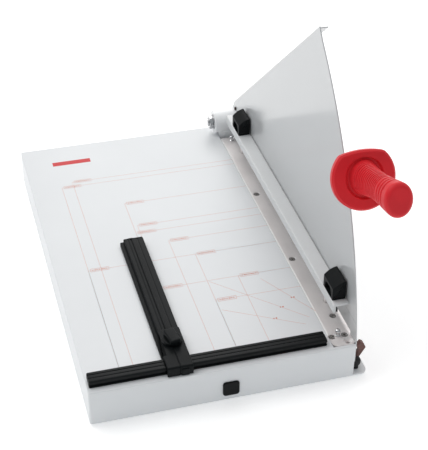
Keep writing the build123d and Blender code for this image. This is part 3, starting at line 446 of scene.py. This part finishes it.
GRIP_KNOTS = (0.0, 0.2, 0.45, 0.68, 0.85, 1.0)      # shares of the grip's length, for its half sizes
GRIP_TALL = (0.0200, 0.0180, 0.0170, 0.0182, 0.0200, 0.0208)
GRIP_SLIM = (0.0170, 0.0152, 0.0144, 0.0152, 0.0167, 0.0174)
BACK_EDGE = 0.001           # rounding of the disc's back edge
END_ROUNDING = 0.0058       # rounding of the grip's end
END_RINGS = (0.070, 0.0775, 0.085)      # places of the three rings, from the disc's front
RING_DEPTH, RING_WIDTH = 0.0024, 0.0011
PANEL_DEPTH = 0.0024


def handle_rings(settings, radius, length):
    """Rings of the whole hand grip about its own axis, from the middle of its back to the middle of its end.

    Disc rows follow the disc's outline drawn in by a bevel. Grip rows are ovals whose half sizes follow a
    smooth waist, with ribs on one side, three rings all round and a sunk panel.
    """
    columns = 192
    angle = np.linspace(0.0, 2 * math.pi, columns, endpoint=False)
    outline = disc_radius_at(angle, radius, settings.flat, settings.flat_bow)
    thick, bevel, fillet = settings.disc_thickness, settings.bevel, settings.fillet

    def oval(tall, slim):
        return 1.0 / np.sqrt((np.cos(angle) / slim) ** 2 + (np.sin(angle) / tall) ** 2)

    def half_sizes(along):
        share = (along - thick) / (length - thick)
        return np.interp(share, GRIP_KNOTS, GRIP_TALL), np.interp(share, GRIP_KNOTS, GRIP_SLIM)

    heights, rows = [], []
    for share in np.linspace(0.02, 1.0, 6):
        heights.append(0.0)
        rows.append((outline - BACK_EDGE) * share)
    for turn in np.linspace(0.2, 1.0, 4) * math.pi / 2:
        heights.append(BACK_EDGE * (1 - math.cos(turn)))
        rows.append(outline - BACK_EDGE * (1 - math.sin(turn)))
    for share in np.linspace(0.0, 1.0, 4)[1:]:
        heights.append(BACK_EDGE + (thick - bevel * 0.9 - BACK_EDGE) * share)
        rows.append(outline)
    for share in (0.5, 1.0):
        heights.append(thick - bevel * 0.9 * (1 - share))
        rows.append(outline - bevel * share)
    base = oval(*half_sizes(thick))
    moat = (0.0, 0.30, 0.55, 0.74, 0.78, 0.81, 0.84, 0.88, 0.94, 1.0)
    for share in moat[1:]:
        heights.append(thick - settings.hub_sink * float(smooth_step(share, 0.75, 0.86)))
        rows.append((outline - bevel) * (1 - share) + (base + fillet * 0.5) * share)
    floor = thick - settings.hub_sink
    for turn in np.linspace(0.12, 1.0, 8) * math.pi / 2:
        heights.append(floor + (fillet + settings.hub_sink) * (1 - math.cos(turn)))
        rows.append(base + fillet * 0.5 * (1 - math.sin(turn)))
    body = np.linspace(thick + fillet, length - END_ROUNDING, 420)[1:]
    knots = np.linspace(thick, length, 400)
    tall, slim = half_sizes(knots)
    kernel = np.hanning(61)
    kernel /= kernel.sum()
    padded = [np.concatenate([np.full(30, v[0]), v, np.full(30, v[-1])]) for v in (tall, slim)]
    tall, slim = (np.convolve(v, kernel, "valid") for v in padded)
    tall, slim = np.interp(body, knots, tall), np.interp(body, knots, slim)
    shape = oval(tall[:, None], slim[:, None])
    degrees = np.degrees(angle)[None]
    ribs_from, ribs_to = thick + 0.005, thick + 0.065
    side = smooth_step(degrees, 80, 90) * (1 - smooth_step(degrees, 212, 220))
    along = body[:, None]
    reach = smooth_step(along, ribs_from, ribs_from + 0.003)
    reach = reach * (1 - smooth_step(along, ribs_to - 0.003, ribs_to))
    phase = (along - ribs_from) / (ribs_to - ribs_from) * settings.rib_count
    cut = np.abs((phase % 1.0) - 0.5) / 0.5
    shape = shape - settings.rib_depth * (1 - smooth_step(cut, 0.06, 0.52)) * side * reach
    for ring_at in END_RINGS:
        shape = shape - RING_DEPTH * np.exp(-((along - thick - ring_at) / RING_WIDTH) ** 2)
    panel = smooth_step(degrees, 221, 225) * (1 - smooth_step(degrees, 262, 266))
    panel = panel * smooth_step(along, thick + 0.022, thick + 0.026)
    panel = panel * (1 - smooth_step(along, thick + 0.066, thick + 0.069))
    shape = shape - PANEL_DEPTH * panel
    heights += list(body)
    rows += list(shape)
    end_oval = shape[-1]
    for turn in np.linspace(0.12, 1.0, 9) * math.pi / 2:
        heights.append(length - END_ROUNDING + END_ROUNDING * math.sin(turn))
        rows.append(end_oval - END_ROUNDING * (1 - math.cos(turn)))
    for share in np.linspace(1.0, 0.03, 8)[1:]:
        heights.append(length)
        rows.append((end_oval - END_ROUNDING) * share)
    return np.array(heights), np.array(rows), angle


class CUTTER_OT_hand_grip(Operator):
    """Make the red hand grip: a bevelled disc, a waisted ribbed grip and its rounded end, in one surface"""
    bl_idname = "cutter.hand_grip"
    bl_label = "Hand grip"

    def execute(self, context):
        pivot = np.array(PIVOT)
        stud_low, stud_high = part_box("handle_stud")
        line = np.array((stud_low + stud_high) / 2) - pivot
        line[0] = 0.0
        out = line / np.linalg.norm(line)
        across = np.array([1.0, 0.0, 0.0])
        up = np.cross(out, across)
        points = node_points("hand_grip")
        reach = (points - pivot) @ out
        center = pivot + out * reach.min()
        low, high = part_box("hand_grip")
        center[0] = (low.x + high.x) / 2
        settings = context.scene.cutter_handle
        thick, droop = settings.disc_thickness, settings.droop
        grip_out = out * math.cos(droop) - up * math.sin(droop)
        length = ((points - center - out * thick) @ grip_out).max() + thick
        radius = (high.x - low.x) / 2
        heights, rows, angle = handle_rings(settings, radius, length)
        beyond = np.maximum(heights - thick, 0.0)[:, None]
        shift = settings.grip_shift * smooth_step(rows.mean(axis=1), radius * 0.95, radius * 0.55)[:, None]
        shift = np.where(heights[:, None] < thick / 2, 0.0, shift)
        lean = (droop * smooth_step(heights, thick, thick + 0.03))[:, None, None]
        rise = up * np.cos(lean) + out * np.sin(lean)
        middle = center + np.minimum(heights, thick)[:, None] * out + beyond * grip_out + shift * across
        rings = (middle[:, None] + (rows * np.cos(angle))[..., None] * across
                 + (rows * np.sin(angle))[..., None] * rise)
        grip = make_piece("red_hand_grip", *closed_tube(rings), "arm", finishes["red"])
        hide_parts("hand_grip")
        return {"FINISHED"}


# ---------------------------------------------------------------- pressing bar's grips
class BarGripSettings(PropertyGroup):
    """Sizes of the pressing bar's two black grips."""
    edge: FloatProperty(name="Edge", description="Rounding of a grip's front and back edges", unit="LENGTH",
                        default=0.0011)
    opening_length: FloatProperty(name="Opening length", description="Finger opening along the bar",
                                  unit="LENGTH", default=0.0225)
    opening_height: FloatProperty(name="Opening height", description="Finger opening above the bar",
                                  unit="LENGTH", default=0.0128)
    opening_depth: FloatProperty(name="Opening depth", description="How far the finger opening goes in",
                                 unit="LENGTH", default=0.0085)


def bar_grip_rings(node, settings):
    """One bar grip: an arched wedge carried along the bar, with an arched opening pushed into its low side.

    The opening's edge is a rounded arch. A point of the low side inside it moves towards the high side by
    the opening's depth, over a narrow wall at the edge.
    """
    low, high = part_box(node)
    left, right, bottom, peak = low.x, high.x, low.z, high.z
    shoulder = bottom + 0.0172
    width = right - left
    arch = [(right - width * t, shoulder + (peak - shoulder) * math.cos(t * math.pi / 2) ** 0.85, 0.010)
            for t in (0.15, 0.32, 0.5, 0.68, 0.85)]
    corners = [(left, bottom, 0.0004), (right, bottom, 0.0004), (right, peak, 0.0010), *arch,
               (left, shoulder, 0.0009)]
    rings = carried(corners, low.y, high.y, settings.edge, 0.0004, row_spacing=0.0004)
    middle = (low.y + high.y) / 2
    beside = np.abs(rings[..., 1] - middle) / (settings.opening_length / 2)
    above = np.maximum(rings[..., 2] - bottom - 0.0008, 0.0) / settings.opening_height
    edge = (beside ** 3.2 + above ** 3.2) ** (1 / 3.2)
    inside = 1.0 - smooth_step(edge, 0.93, 1.0)
    on_side = 1.0 - smooth_step(rings[..., 0] - left, 0.0006, 0.0012)
    lifted = smooth_step(rings[..., 2], bottom + 0.0004, bottom + 0.0012)
    rings[..., 0] += settings.opening_depth * inside * on_side * lifted
    return rings


class CUTTER_OT_bar_grips(Operator):
    """Make the pressing bar's two black grips"""
    bl_idname = "cutter.bar_grips"
    bl_label = "Pressing bar grips"

    def execute(self, context):
        for node, name in (("front_bar_grip", "front_thumb_grip"), ("rear_bar_grip", "rear_thumb_grip")):
            rings = bar_grip_rings(node, context.scene.cutter_bar_grips)
            grip = make_piece(name, *closed_tube(rings), "pressing_bar", finishes["plastic"])
            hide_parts(node)
        return {"FINISHED"}


# ---------------------------------------------------------------- rail and side gauge
class GaugeSettings(PropertyGroup):
    """Sizes of the front rail and the side gauge."""
    ledge: FloatProperty(name="Ledge", description="Width of the gauge's low left ledge", unit="LENGTH",
                         default=0.005)
    ledge_height: FloatProperty(name="Ledge height", description="Its height above the table",
                                unit="LENGTH", default=0.005)
    groove: FloatProperty(name="Groove", description="Depth of the grooves along the gauge and rail",
                          unit="LENGTH", default=0.0009)
    seam: FloatProperty(name="Seam", description="Width of the seam down the gauge's head", unit="LENGTH",
                        default=0.0014)
    knob_bar: FloatProperty(name="Knob bar", description="Width of the knob's finger bar", unit="LENGTH",
                            default=0.0140)
    knob_length: FloatProperty(name="Knob bar length", description="Length of the knob's finger bar",
                               unit="LENGTH", default=0.0264)


def groove_corners(center, level, half_width, depth):
    """Four corners of a shallow groove in a level top, from right to left."""
    return [(center + half_width, level, 0.0003), (center + half_width * 0.7, level - depth, 0.0002),
            (center - half_width * 0.7, level - depth, 0.0002), (center - half_width, level, 0.0003)]


class CUTTER_OT_front_rail(Operator):
    """Make the black front rail: its section with scored lines on top and a groove in front"""
    bl_idname = "cutter.front_rail"
    bl_label = "Front rail"

    def execute(self, context):
        settings = context.scene.cutter_gauge
        low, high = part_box("front_rail")
        front, back, bottom, top = low.y, high.y, low.z, high.z
        slot_low, slot_high, slot_deep = bottom + 0.002, bottom + 0.005, 0.002
        corners = [(front, bottom, 0.0005), (back, bottom, 0.0005), (back, top, 0.0010),
                   *groove_corners(back - 0.005, top, 0.0007, settings.groove),
                   *groove_corners(back - 0.011, top, 0.0006, settings.groove * 0.7),
                   (front, top, 0.0040), (front, slot_high, 0.0003), (front + slot_deep, slot_high, 0.0003),
                   (front + slot_deep, slot_low, 0.0003), (front, slot_low, 0.0003)]
        rings = carried(corners, low.x, high.x, 0.0018, 0.0004, along="X", row_spacing=0.02)
        rail = make_piece("stop_rail", *closed_tube(rings), "base", finishes["rail"])
        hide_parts("front_rail")
        return {"FINISHED"}


class CUTTER_OT_gauge_arm(Operator):
    """Make the side gauge's arm and end cap: a low ledge, a rounded shoulder and grooves along the top"""
    bl_idname = "cutter.gauge_arm"
    bl_label = "Gauge arm"

    def execute(self, context):
        settings = context.scene.cutter_gauge
        low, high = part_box("gauge_arm")
        left, right, bottom, top = low.x, high.x, low.z, high.z
        step = left + settings.ledge
        ridge = 0.0005
        corners = [(left, bottom, 0.0004), (right, bottom, 0.0004), (right, top, 0.0012),
                   *groove_corners(left + 0.024, top, 0.0009, settings.groove * 0.6),
                   (left + 0.0187, top, 0.0003), (left + 0.0182, top + ridge, 0.0004),
                   *groove_corners(left + 0.0150, top + ridge, 0.0011, settings.groove * 1.6),
                   (left + 0.0118, top + ridge, 0.0004), (left + 0.0113, top, 0.0003),
                   (step, top, 0.0014), (step, TOP_Z + settings.ledge_height, 0.0006),
                   (left, TOP_Z + settings.ledge_height, 0.0009)]
        rings = carried(corners, low.y, high.y, 0.0006, 0.0004, row_spacing=0.02)
        arm = make_piece("gauge_bar", *closed_tube(rings), "side_gauge", finishes["plastic"])
        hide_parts("gauge_arm")
        cap_low, cap_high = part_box("gauge_end_cap")
        inset = 0.0004
        section = [(left + inset, bottom, 0.0004), (right - inset, bottom, 0.0004),
                   (right - inset, top, 0.0012), (left + 0.0182, top, 0.0006),
                   (left + 0.0176, top + ridge, 0.0005), (left + 0.0122, top + ridge, 0.0005),
                   (left + 0.0116, top, 0.0006),
                   (step, top, 0.0014), (step, TOP_Z + settings.ledge_height, 0.0006),
                   (left + inset, TOP_Z + settings.ledge_height, 0.0009)]
        rings = carried(section, cap_low.y + 0.0001, cap_high.y, 0.0007, 0.0004)
        cap = make_piece("gauge_tail_cap", *closed_tube(rings), "side_gauge", finishes["plastic"])
        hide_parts("gauge_end_cap")
        return {"FINISHED"}


def head_rings(settings):
    """The gauge's head: a section that bridges the rail, carried across X, with a seam half way.

    Each station draws the outline in: by a quarter circle at both sides, and by a shallow V at the seam.
    """
    low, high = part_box("gauge_head")
    rail_low, rail_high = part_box("front_rail")
    gap = 0.0003
    arm_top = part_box("gauge_arm")[1].z
    corners = [(low.y, low.z, 0.0010), (rail_low.y - gap, low.z, 0.0004),
               (rail_low.y - gap, rail_high.z + gap, 0.0005), (rail_high.y + gap, rail_high.z + gap, 0.0004),
               (rail_high.y + gap, arm_top + 0.00005, 0.0004),
               (high.y, arm_top + 0.00005, 0.0003), (high.y, high.z, 0.0012), (low.y, high.z, 0.0024)]
    outline, normals = rounded_outline(corners, 0.0005)
    left, right = low.x, high.x
    places, insets = end_stations(left, right, 0.0011, 0.0004)
    middle = (left + right) / 2
    valley = np.clip(1.0 - np.abs(places - middle) / (settings.seam / 2), 0.0, 1.0)
    insets = insets + 0.0009 * np.sqrt(valley)
    section = outline[None] - normals[None] * insets[:, None, None]
    run = np.broadcast_to(places[:, None], section.shape[:2])
    rings = np.stack([run, section[..., 0], section[..., 1]], -1)
    return rings, low, high


class CUTTER_OT_gauge_head(Operator):
    """Make the side gauge's head, which bridges the rail, with its seam, tongue plate and ledge"""
    bl_idname = "cutter.gauge_head"
    bl_label = "Gauge head"

    def execute(self, context):
        settings = context.scene.cutter_gauge
        rings, low, high = head_rings(settings)
        step = low.x + settings.ledge
        over_arm = rings[..., 1] > STOP_Y + 0.0006
        rings[..., 0] = np.where(over_arm & (rings[..., 0] < step), step, rings[..., 0])
        tongue_left = (low.x + high.x) / 2 + 0.0014
        tongue = [(tongue_left, low.z + 0.0004, 0.0008), (tongue_left + 0.0095, low.z + 0.0004, 0.0008),
                  (tongue_left + 0.0095, low.z + 0.0098, 0.0008), (tongue_left, low.z + 0.0098, 0.0008)]
        plate = carried(tongue, low.y - 0.0012, low.y + 0.0008, 0.0005, 0.0004)
        head = make_piece("gauge_saddle", *joined([closed_tube(rings), closed_tube(plate)]), "side_gauge",
                          finishes["plastic"])
        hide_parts("gauge_head")
        return {"FINISHED"}


class CUTTER_OT_gauge_knob(Operator):
    """Make the gauge's round locking knob with its finger bar"""
    bl_idname = "cutter.gauge_knob"
    bl_label = "Gauge knob"

    def execute(self, context):
        settings = context.scene.cutter_gauge
        low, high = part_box("gauge_knob")
        center = ((low.x + high.x) / 2, (low.y + high.y) / 2, low.z)
        radius = (high.x - low.x) / 2
        rim = 0.0044
        turn = np.linspace(0.0, math.pi / 2, 7)
        edge = np.stack([rim - 0.0012 + 0.0012 * np.sin(turn), radius - 0.0012 * (1 - np.cos(turn))], -1)
        profile = [(0.0, 0.0004), (0.0, radius - 0.0008), (0.0006, radius), *edge.tolist(),
                   (rim - 0.0004, radius * 0.72), (rim - 0.0004, 0.0004)]
        rings = turned(profile, 96, center)
        swing = math.radians(10.0)
        half_bar, half_length, height = settings.knob_bar / 2, settings.knob_length / 2, high.z - low.z
        corners = [(-half_length, -half_bar, 0.0026), (half_length, -half_bar, 0.0026),
                   (half_length, half_bar, 0.0026), (-half_length, half_bar, 0.0026)]
        outline, normals = rounded_outline(corners, 0.0006)
        bend = np.linspace(0.0, math.pi / 2, 8)
        levels = np.concatenate([[rim - 0.0008], height - 0.0022 + 0.0022 * np.sin(bend)])
        insets = np.concatenate([[0.0], 0.0022 * (1 - np.cos(bend))])
        flat = outline[None] - normals[None] * insets[:, None, None]
        along = np.array([math.sin(swing), -math.cos(swing)])
        across = np.array([math.cos(swing), math.sin(swing)])
        plane = flat[..., :1] * along + flat[..., 1:] * across
        lift = np.broadcast_to(levels[:, None, None], plane.shape[:2] + (1,))
        bar = np.concatenate([plane, lift], -1) + np.array(center)
        knob = make_piece("gauge_lock_knob", *joined([closed_tube(rings), closed_tube(bar)]), "knob",
                          finishes["plastic"])
        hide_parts("gauge_knob")
        return {"FINISHED"}


# ---------------------------------------------------------------- bright metal
class MetalSettings(PropertyGroup):
    """Sizes of the chrome posts, the pivot nut and the bar's springs."""
    post_flange: FloatProperty(name="Post flange", description="Height of a post's wider foot", unit="LENGTH",
                               default=0.0018)
    spring_wire: FloatProperty(name="Spring wire", description="Radius of the bar springs' wire",
                               unit="LENGTH", default=0.00045)
    spring_turns: IntProperty(name="Spring turns", description="Turns of each bar spring", default=8)


class CUTTER_OT_posts_and_nut(Operator):
    """Make the domed chrome posts on the bed strip and the chrome nut on the pivot"""
    bl_idname = "cutter.posts_and_nut"
    bl_label = "Posts and pivot nut"

    def execute(self, context):
        settings = context.scene.cutter_metal
        points = node_points("bed_posts")
        halves = [points[points[:, 1] < points[:, 1].mean()], points[points[:, 1] >= points[:, 1].mean()]]
        flange, parts = settings.post_flange, []
        turn = np.linspace(0.0, math.pi / 2, 9)
        for post in halves:
            spot = (post.min(0) + post.max(0)) / 2
            radius, height = (post[:, 0].max() - post[:, 0].min()) / 2, post[:, 2].max() - TOP_Z
            rise, stem, head = 0.0034, radius * 0.70, radius * 0.92
            dome = np.stack([height - rise + rise * np.sin(turn), 0.0002 + head * np.cos(turn)], -1)
            profile = [(-0.004, 0.0002), (-0.004, 0.0024), (0.0, 0.0024), (0.0, radius),
                       (flange * 0.7, radius), (flange, radius - 0.0006), (flange + 0.0006, stem),
                       (height - 0.0046, stem), (height - 0.0038, head), *dome.tolist()]
            parts.append(closed_tube(turned(profile, 64, (spot[0], spot[1], TOP_Z))))
        posts = make_piece("chrome_posts", *joined(parts), "base", finishes["chrome"])
        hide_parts("bed_posts")
        low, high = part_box("lock_nut")
        width = high.x - low.x
        flat = (high.z - low.z) / 2
        corner = flat / math.cos(math.pi / 6)
        bore = 0.0060
        profile = [(width, bore), (width, flat * 0.97), (width - 0.0008, corner), (0.0008, corner),
                   (0.0, flat * 0.95), (0.0, bore + 0.0006), (0.0006, bore)]
        rings = turned(profile, 120, (low.x, PIVOT[1], PIVOT[2]), 6, flat, "X")
        rows, columns = rings.shape[:2]
        faces = ring_faces(rows, columns)
        last = (rows - 1) * columns
        faces += [[last + i, last + (i + 1) % columns, (i + 1) % columns, i] for i in range(columns)]
        nut = make_piece("pivot_nut", rings.reshape(-1, 3), faces, "arm", finishes["chrome"], 20.0)
        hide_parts("lock_nut")
        return {"FINISHED"}


class CUTTER_OT_bar_springs(Operator):
    """Make the two coil springs that raise the pressing bar"""
    bl_idname = "cutter.bar_springs"
    bl_label = "Bar springs"

    def execute(self, context):
        settings = context.scene.cutter_metal
        points = node_points("clamp_springs")
        wire = settings.spring_wire
        halves = [points[points[:, 1] < points[:, 1].mean()], points[points[:, 1] >= points[:, 1].mean()]]
        parts = []
        turn = np.linspace(0.0, 2 * math.pi * settings.spring_turns, settings.spring_turns * 24)
        around = np.linspace(0.0, 2 * math.pi, 8, endpoint=False)
        for half in halves:
            middle = (half.min(0) + half.max(0)) / 2
            coil = (half[:, 0].max() - half[:, 0].min()) / 2 - wire
            bottom, top = half[:, 2].min() + wire, half[:, 2].max() - wire
            swing = np.stack([np.cos(turn), np.sin(turn), np.zeros_like(turn)], -1)
            line = np.array([middle[0], middle[1], 0.0]) + swing * coil
            line[:, 2] = bottom + (top - bottom) * turn / turn[-1]
            rings = (line[:, None] + wire * (np.cos(around)[None, :, None] * swing[:, None]
                                             + np.sin(around)[None, :, None] * np.array([0.0, 0.0, 1.0])))
            parts.append(closed_tube(rings))
        springs = make_piece("bar_coil_springs", *joined(parts), "base", finishes["screw"])
        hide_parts("clamp_springs")
        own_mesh(springs)
        return {"FINISHED"}


# ---------------------------------------------------------------- print on the table
FORMATS_MM = [(279.4, 431.8), (297.0, 420.0), (215.9, 355.6), (210.0, 297.0), (215.9, 279.4), (176.0, 250.0),
              (148.0, 210.0), (297.0, 210.0), (105.0, 148.0), (210.0, 148.0), (148.0, 105.0)]


class PrintSettings(PropertyGroup):
    """Sizes of the print on the table."""
    line: FloatProperty(name="Line", description="Width of a format line", unit="LENGTH", default=0.00036)
    film: FloatProperty(name="Film", description="Thickness of the ink", unit="LENGTH", default=0.00005)
    outline: FloatProperty(name="Outline", description="Width of a tag's outline", unit="LENGTH",
                           default=0.00042)
    mark: FloatProperty(name="Mark", description="Height of a tag's plain marks", unit="LENGTH",
                        default=0.0023)
    tag_height: FloatProperty(name="Tag height", description="Height of a format's tag", unit="LENGTH",
                              default=0.0062)
    tag_marks: IntProperty(name="Tag marks", description="Plain marks in each format's tag", default=7)
    mark_step: FloatProperty(name="Mark step", description="From one plain mark to the next", unit="LENGTH",
                             default=0.0031)
    angle_start: FloatProperty(name="Angle start", description="From the corner to the angle lines' start",
                               unit="LENGTH", default=0.058)
    angle_tags: FloatProperty(name="Angle tags", description="From the corner to the angle lines' marks",
                              unit="LENGTH", default=0.0965)
    bar_length: FloatProperty(name="Mark length", description="Length of the plain red bar at the back",
                              unit="LENGTH", default=0.058)
    bar_height: FloatProperty(name="Mark height", description="Height of the plain red bar at the back",
                              unit="LENGTH", default=0.0105)


ANGLE_LINES = [(30.0, 0.168), (45.0, 0.207), (60.0, 0.155)]     # degrees from the stop, reach from the corner
RED_BAR = (0.300, 0.487)        # its left end: left of the cut, behind the stop


class CUTTER_OT_table_print(Operator):
    """Print the table: each format's lines with a plain tag, three angle lines and one plain red bar"""
    bl_idname = "cutter.table_print"
    bl_label = "Table print"

    def execute(self, context):
        settings = context.scene.cutter_print
        strip_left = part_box("bed_knife")[0].x - 0.0006
        low, high = TOP_Z - 0.00002, TOP_Z + settings.film
        step, rise = settings.mark_step, settings.tag_height / 2
        starts, ends, marks, frames = [], [], [], []

        def tag(x, y, count):
            for index in range(count):
                begin = x + index * step
                marks.append(((begin, y), (begin + step * (0.45 + 0.2 * (index % 3 == 1)), y)))

        for width, height in FORMATS_MM:
            x, y = CUT_X - width * MM, STOP_Y + height * MM
            left, right = x + step, x + step * (settings.tag_marks + 2)
            starts += [(x, STOP_Y), (x, y), (right, y)]
            ends += [(x, y), (left, y), (strip_left, y)]
            tag(left + step * 0.7, y, settings.tag_marks)
            corners = [(left, y - rise), (right, y - rise), (right, y + rise), (left, y + rise)]
            frames += list(zip(corners, corners[1:] + corners[:1]))
        for degrees, reach in ANGLE_LINES:
            line = np.array([-math.cos(math.radians(degrees)), math.sin(math.radians(degrees))])
            corner = np.array([CUT_X, STOP_Y])
            starts.append(tuple(corner + line * settings.angle_start))
            ends.append(tuple(corner + line * reach))
            spot = corner + line * settings.angle_tags
            tag(spot[0] - step, spot[1] + 0.0016, 2)
        make_piece("format_lines", *bars(starts, ends, settings.line, low, high), "base", finishes["ink"])
        shapes = [bars(*zip(*marks), settings.mark, low, high),
                  bars(*zip(*frames), settings.outline, low, high)]
        make_piece("format_tags", *joined(shapes), "base", finishes["tag_ink"])
        left, middle = CUT_X - RED_BAR[0], STOP_Y + RED_BAR[1]
        make_piece("plain_red_bar", *bars([(left, middle)], [(left + settings.bar_length, middle)],
                                          settings.bar_height, low, high), "base", finishes["red_ink"])
        return {"FINISHED"}


# ---------------------------------------------------------------- studio
class StageSettings(PropertyGroup):
    """The camera and the light."""
    turn: FloatProperty(name="Turn", description="Camera's turn round the cutter, to the left of its front",
                        subtype="ANGLE", default=math.radians(15.803))
    tilt: FloatProperty(name="Tilt", description="Camera's angle down from level", subtype="ANGLE",
                        default=math.radians(35.171))
    roll: FloatProperty(name="Roll", description="Camera's lean about its own line", subtype="ANGLE",
                        default=math.radians(0.506))
    distance: FloatProperty(name="Distance", description="Camera to the point on the table that it looks at",
                            unit="LENGTH", default=1.720)
    aim_left: FloatProperty(name="Aim left", description="That point's distance left of the cut",
                            unit="LENGTH", default=0.1046)
    aim_back: FloatProperty(name="Aim back", description="That point's distance behind the front stop",
                            unit="LENGTH", default=0.2702)
    lens: FloatProperty(name="Lens", description="Focal length in millimetres, on a 36 mm sensor",
                        default=96.77)
    floor_glow: FloatProperty(name="Floor glow", description="Light that the floor gives off", default=0.30)
    front_light: FloatVectorProperty(name="Front light", description="Sky low down in front", subtype="COLOR",
                                     size=3, default=(0.33, 0.36, 0.375))
    back_light: FloatVectorProperty(name="Back light", description="Sky above and behind", subtype="COLOR",
                                    size=3, default=(1.0, 0.99, 0.98))
    sky_strength: FloatProperty(name="Sky strength", description="Strength of the sky's light", default=0.94)
    floor_tone: FloatVectorProperty(name="Floor", description="Colour of the floor", subtype="COLOR", size=3,
                                    default=(0.96, 0.96, 0.96))


SKY_LINE = (0.10, 0.60, 0.79)       # direction of the brightest sky
LAMPS = [("key_light", (-1.2, 0.5, 2.3), 1.5, 18.0), ("back_light", (0.7, 1.9, 1.6), 1.4, 12.0)]
FLOOR_REACH = 12.0


def area_light(name, place, aim, size, power):
    """A square area light at a place, turned to face a point."""
    lamp = bpy.data.lights.new(name, "AREA")
    lamp.size = size
    lamp.energy = power
    holder = bpy.data.objects.new(name, lamp)
    bpy.context.scene.collection.objects.link(holder)
    holder.location = place
    holder.rotation_mode = "QUATERNION"
    holder.rotation_quaternion = (Vector(aim) - Vector(place)).to_track_quat("-Z", "Y")


class CUTTER_OT_studio(Operator):
    """Set the floor, the lights and the camera"""
    bl_idname = "cutter.studio"
    bl_label = "Studio"

    def execute(self, context):
        settings = context.scene.cutter_stage
        scene = context.scene
        scene.view_settings.view_transform = "Standard"
        reach = FLOOR_REACH
        mesh = bpy.data.meshes.new("studio_floor")
        mesh.from_pydata([(-reach, -reach, 0), (reach, -reach, 0), (reach, reach, 0), (-reach, reach, 0)], [],
                         [(0, 1, 2, 3)])
        paper = finish("floor_white", settings.floor_tone, 0.9, specular=0.1, tone=0.0)
        set_inputs(paper.node_tree.nodes["Principled BSDF"], Emission_Color=(1.0, 1.0, 1.0, 1.0),
                   Emission_Strength=settings.floor_glow)
        mesh.materials.append(paper)
        floor = bpy.data.objects.new("studio_floor", mesh)
        scene.collection.objects.link(floor)
        world = bpy.data.worlds.new("studio_light")
        world.use_nodes = True
        nodes, links = world.node_tree.nodes, world.node_tree.links
        background = nodes["Background"]
        place = nodes.new("ShaderNodeTexCoord")
        lean = nodes.new("ShaderNodeVectorMath")
        lean.operation = "DOT_PRODUCT"
        lean.inputs[1].default_value = SKY_LINE
        ramp = nodes.new("ShaderNodeValToRGB")
        ramp.color_ramp.elements[0].position = 0.0
        ramp.color_ramp.elements[0].color = [*settings.front_light, 1.0]
        ramp.color_ramp.elements[1].position = 0.95
        ramp.color_ramp.elements[1].color = [*settings.back_light, 1.0]
        links.new(place.outputs["Generated"], lean.inputs[0])
        links.new(lean.outputs["Value"], ramp.inputs["Fac"])
        links.new(ramp.outputs["Color"], background.inputs["Color"])
        background.inputs["Strength"].default_value = settings.sky_strength
        scene.world = world
        middle = Vector((CUT_X - settings.aim_left, STOP_Y + settings.aim_back, TOP_Z))
        for name, place, size, power in LAMPS:
            area_light(name, place, middle, size, power)
        turn, tilt, roll = settings.turn, settings.tilt, settings.roll
        look = Vector((math.sin(turn) * math.cos(tilt), math.cos(turn) * math.cos(tilt), -math.sin(tilt)))
        level = look.cross(Vector((0, 0, 1))).normalized()
        upward = level.cross(look)
        right = level * math.cos(roll) + upward * math.sin(roll)
        upward = upward * math.cos(roll) - level * math.sin(roll)
        camera_data = bpy.data.cameras.new("camera")
        camera_data.lens = settings.lens
        camera_data.sensor_width = 36.0
        camera = bpy.data.objects.new("camera", camera_data)
        scene.collection.objects.link(camera)
        turned_axes = Matrix((right, upward, -look)).transposed()
        camera.matrix_world = Matrix.Translation(middle - look * settings.distance) @ turned_axes.to_4x4()
        scene.camera = camera
        return {"FINISHED"}


# ---------------------------------------------------------------- add-on
GROUPS = {
    "cutter_finishes": FinishSettings,
    "cutter_handle": HandleSettings,
    "cutter_bar_grips": BarGripSettings,
    "cutter_gauge": GaugeSettings,
    "cutter_metal": MetalSettings,
    "cutter_print": PrintSettings,
    "cutter_stage": StageSettings,
}
OPERATORS = [CUTTER_OT_finishes, CUTTER_OT_hand_grip, CUTTER_OT_bar_grips, CUTTER_OT_front_rail,
             CUTTER_OT_gauge_arm, CUTTER_OT_gauge_head, CUTTER_OT_gauge_knob, CUTTER_OT_posts_and_nut,
             CUTTER_OT_bar_springs, CUTTER_OT_table_print, CUTTER_OT_studio]


class CUTTER_PT_panel(Panel):
    """Lists the cutter's pieces and their settings"""
    bl_idname = "CUTTER_PT_panel"
    bl_label = "Paper Cutter"
    bl_space_type = "VIEW_3D"
    bl_region_type = "UI"
    bl_category = "Paper Cutter"

    def draw(self, context):
        column = self.layout.column()
        for operator in OPERATORS:
            column.operator(operator.bl_idname)
        for name, group in GROUPS.items():
            box = self.layout.box()
            for key in group.__annotations__:
                box.prop(getattr(context.scene, name), key)


def register():
    for cls in [*GROUPS.values(), *OPERATORS, CUTTER_PT_panel]:
        bpy.utils.register_class(cls)
    for name, group in GROUPS.items():
        setattr(bpy.types.Scene, name, PointerProperty(type=group))


def unregister():
    for name in GROUPS:
        delattr(bpy.types.Scene, name)
    for cls in reversed([*GROUPS.values(), *OPERATORS, CUTTER_PT_panel]):
        bpy.utils.unregister_class(cls)


def main():
    """Register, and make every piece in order."""
    register()
    bpy.ops.cutter.finishes()
    bpy.ops.cutter.hand_grip()
    bpy.ops.cutter.bar_grips()
    bpy.ops.cutter.front_rail()
    bpy.ops.cutter.gauge_arm()
    bpy.ops.cutter.gauge_head()
    bpy.ops.cutter.gauge_knob()
    bpy.ops.cutter.posts_and_nut()
    bpy.ops.cutter.bar_springs()
    bpy.ops.cutter.table_print()
    bpy.ops.cutter.studio()
    bpy.context.view_layer.update()


if __name__ == "__main__":
    main()
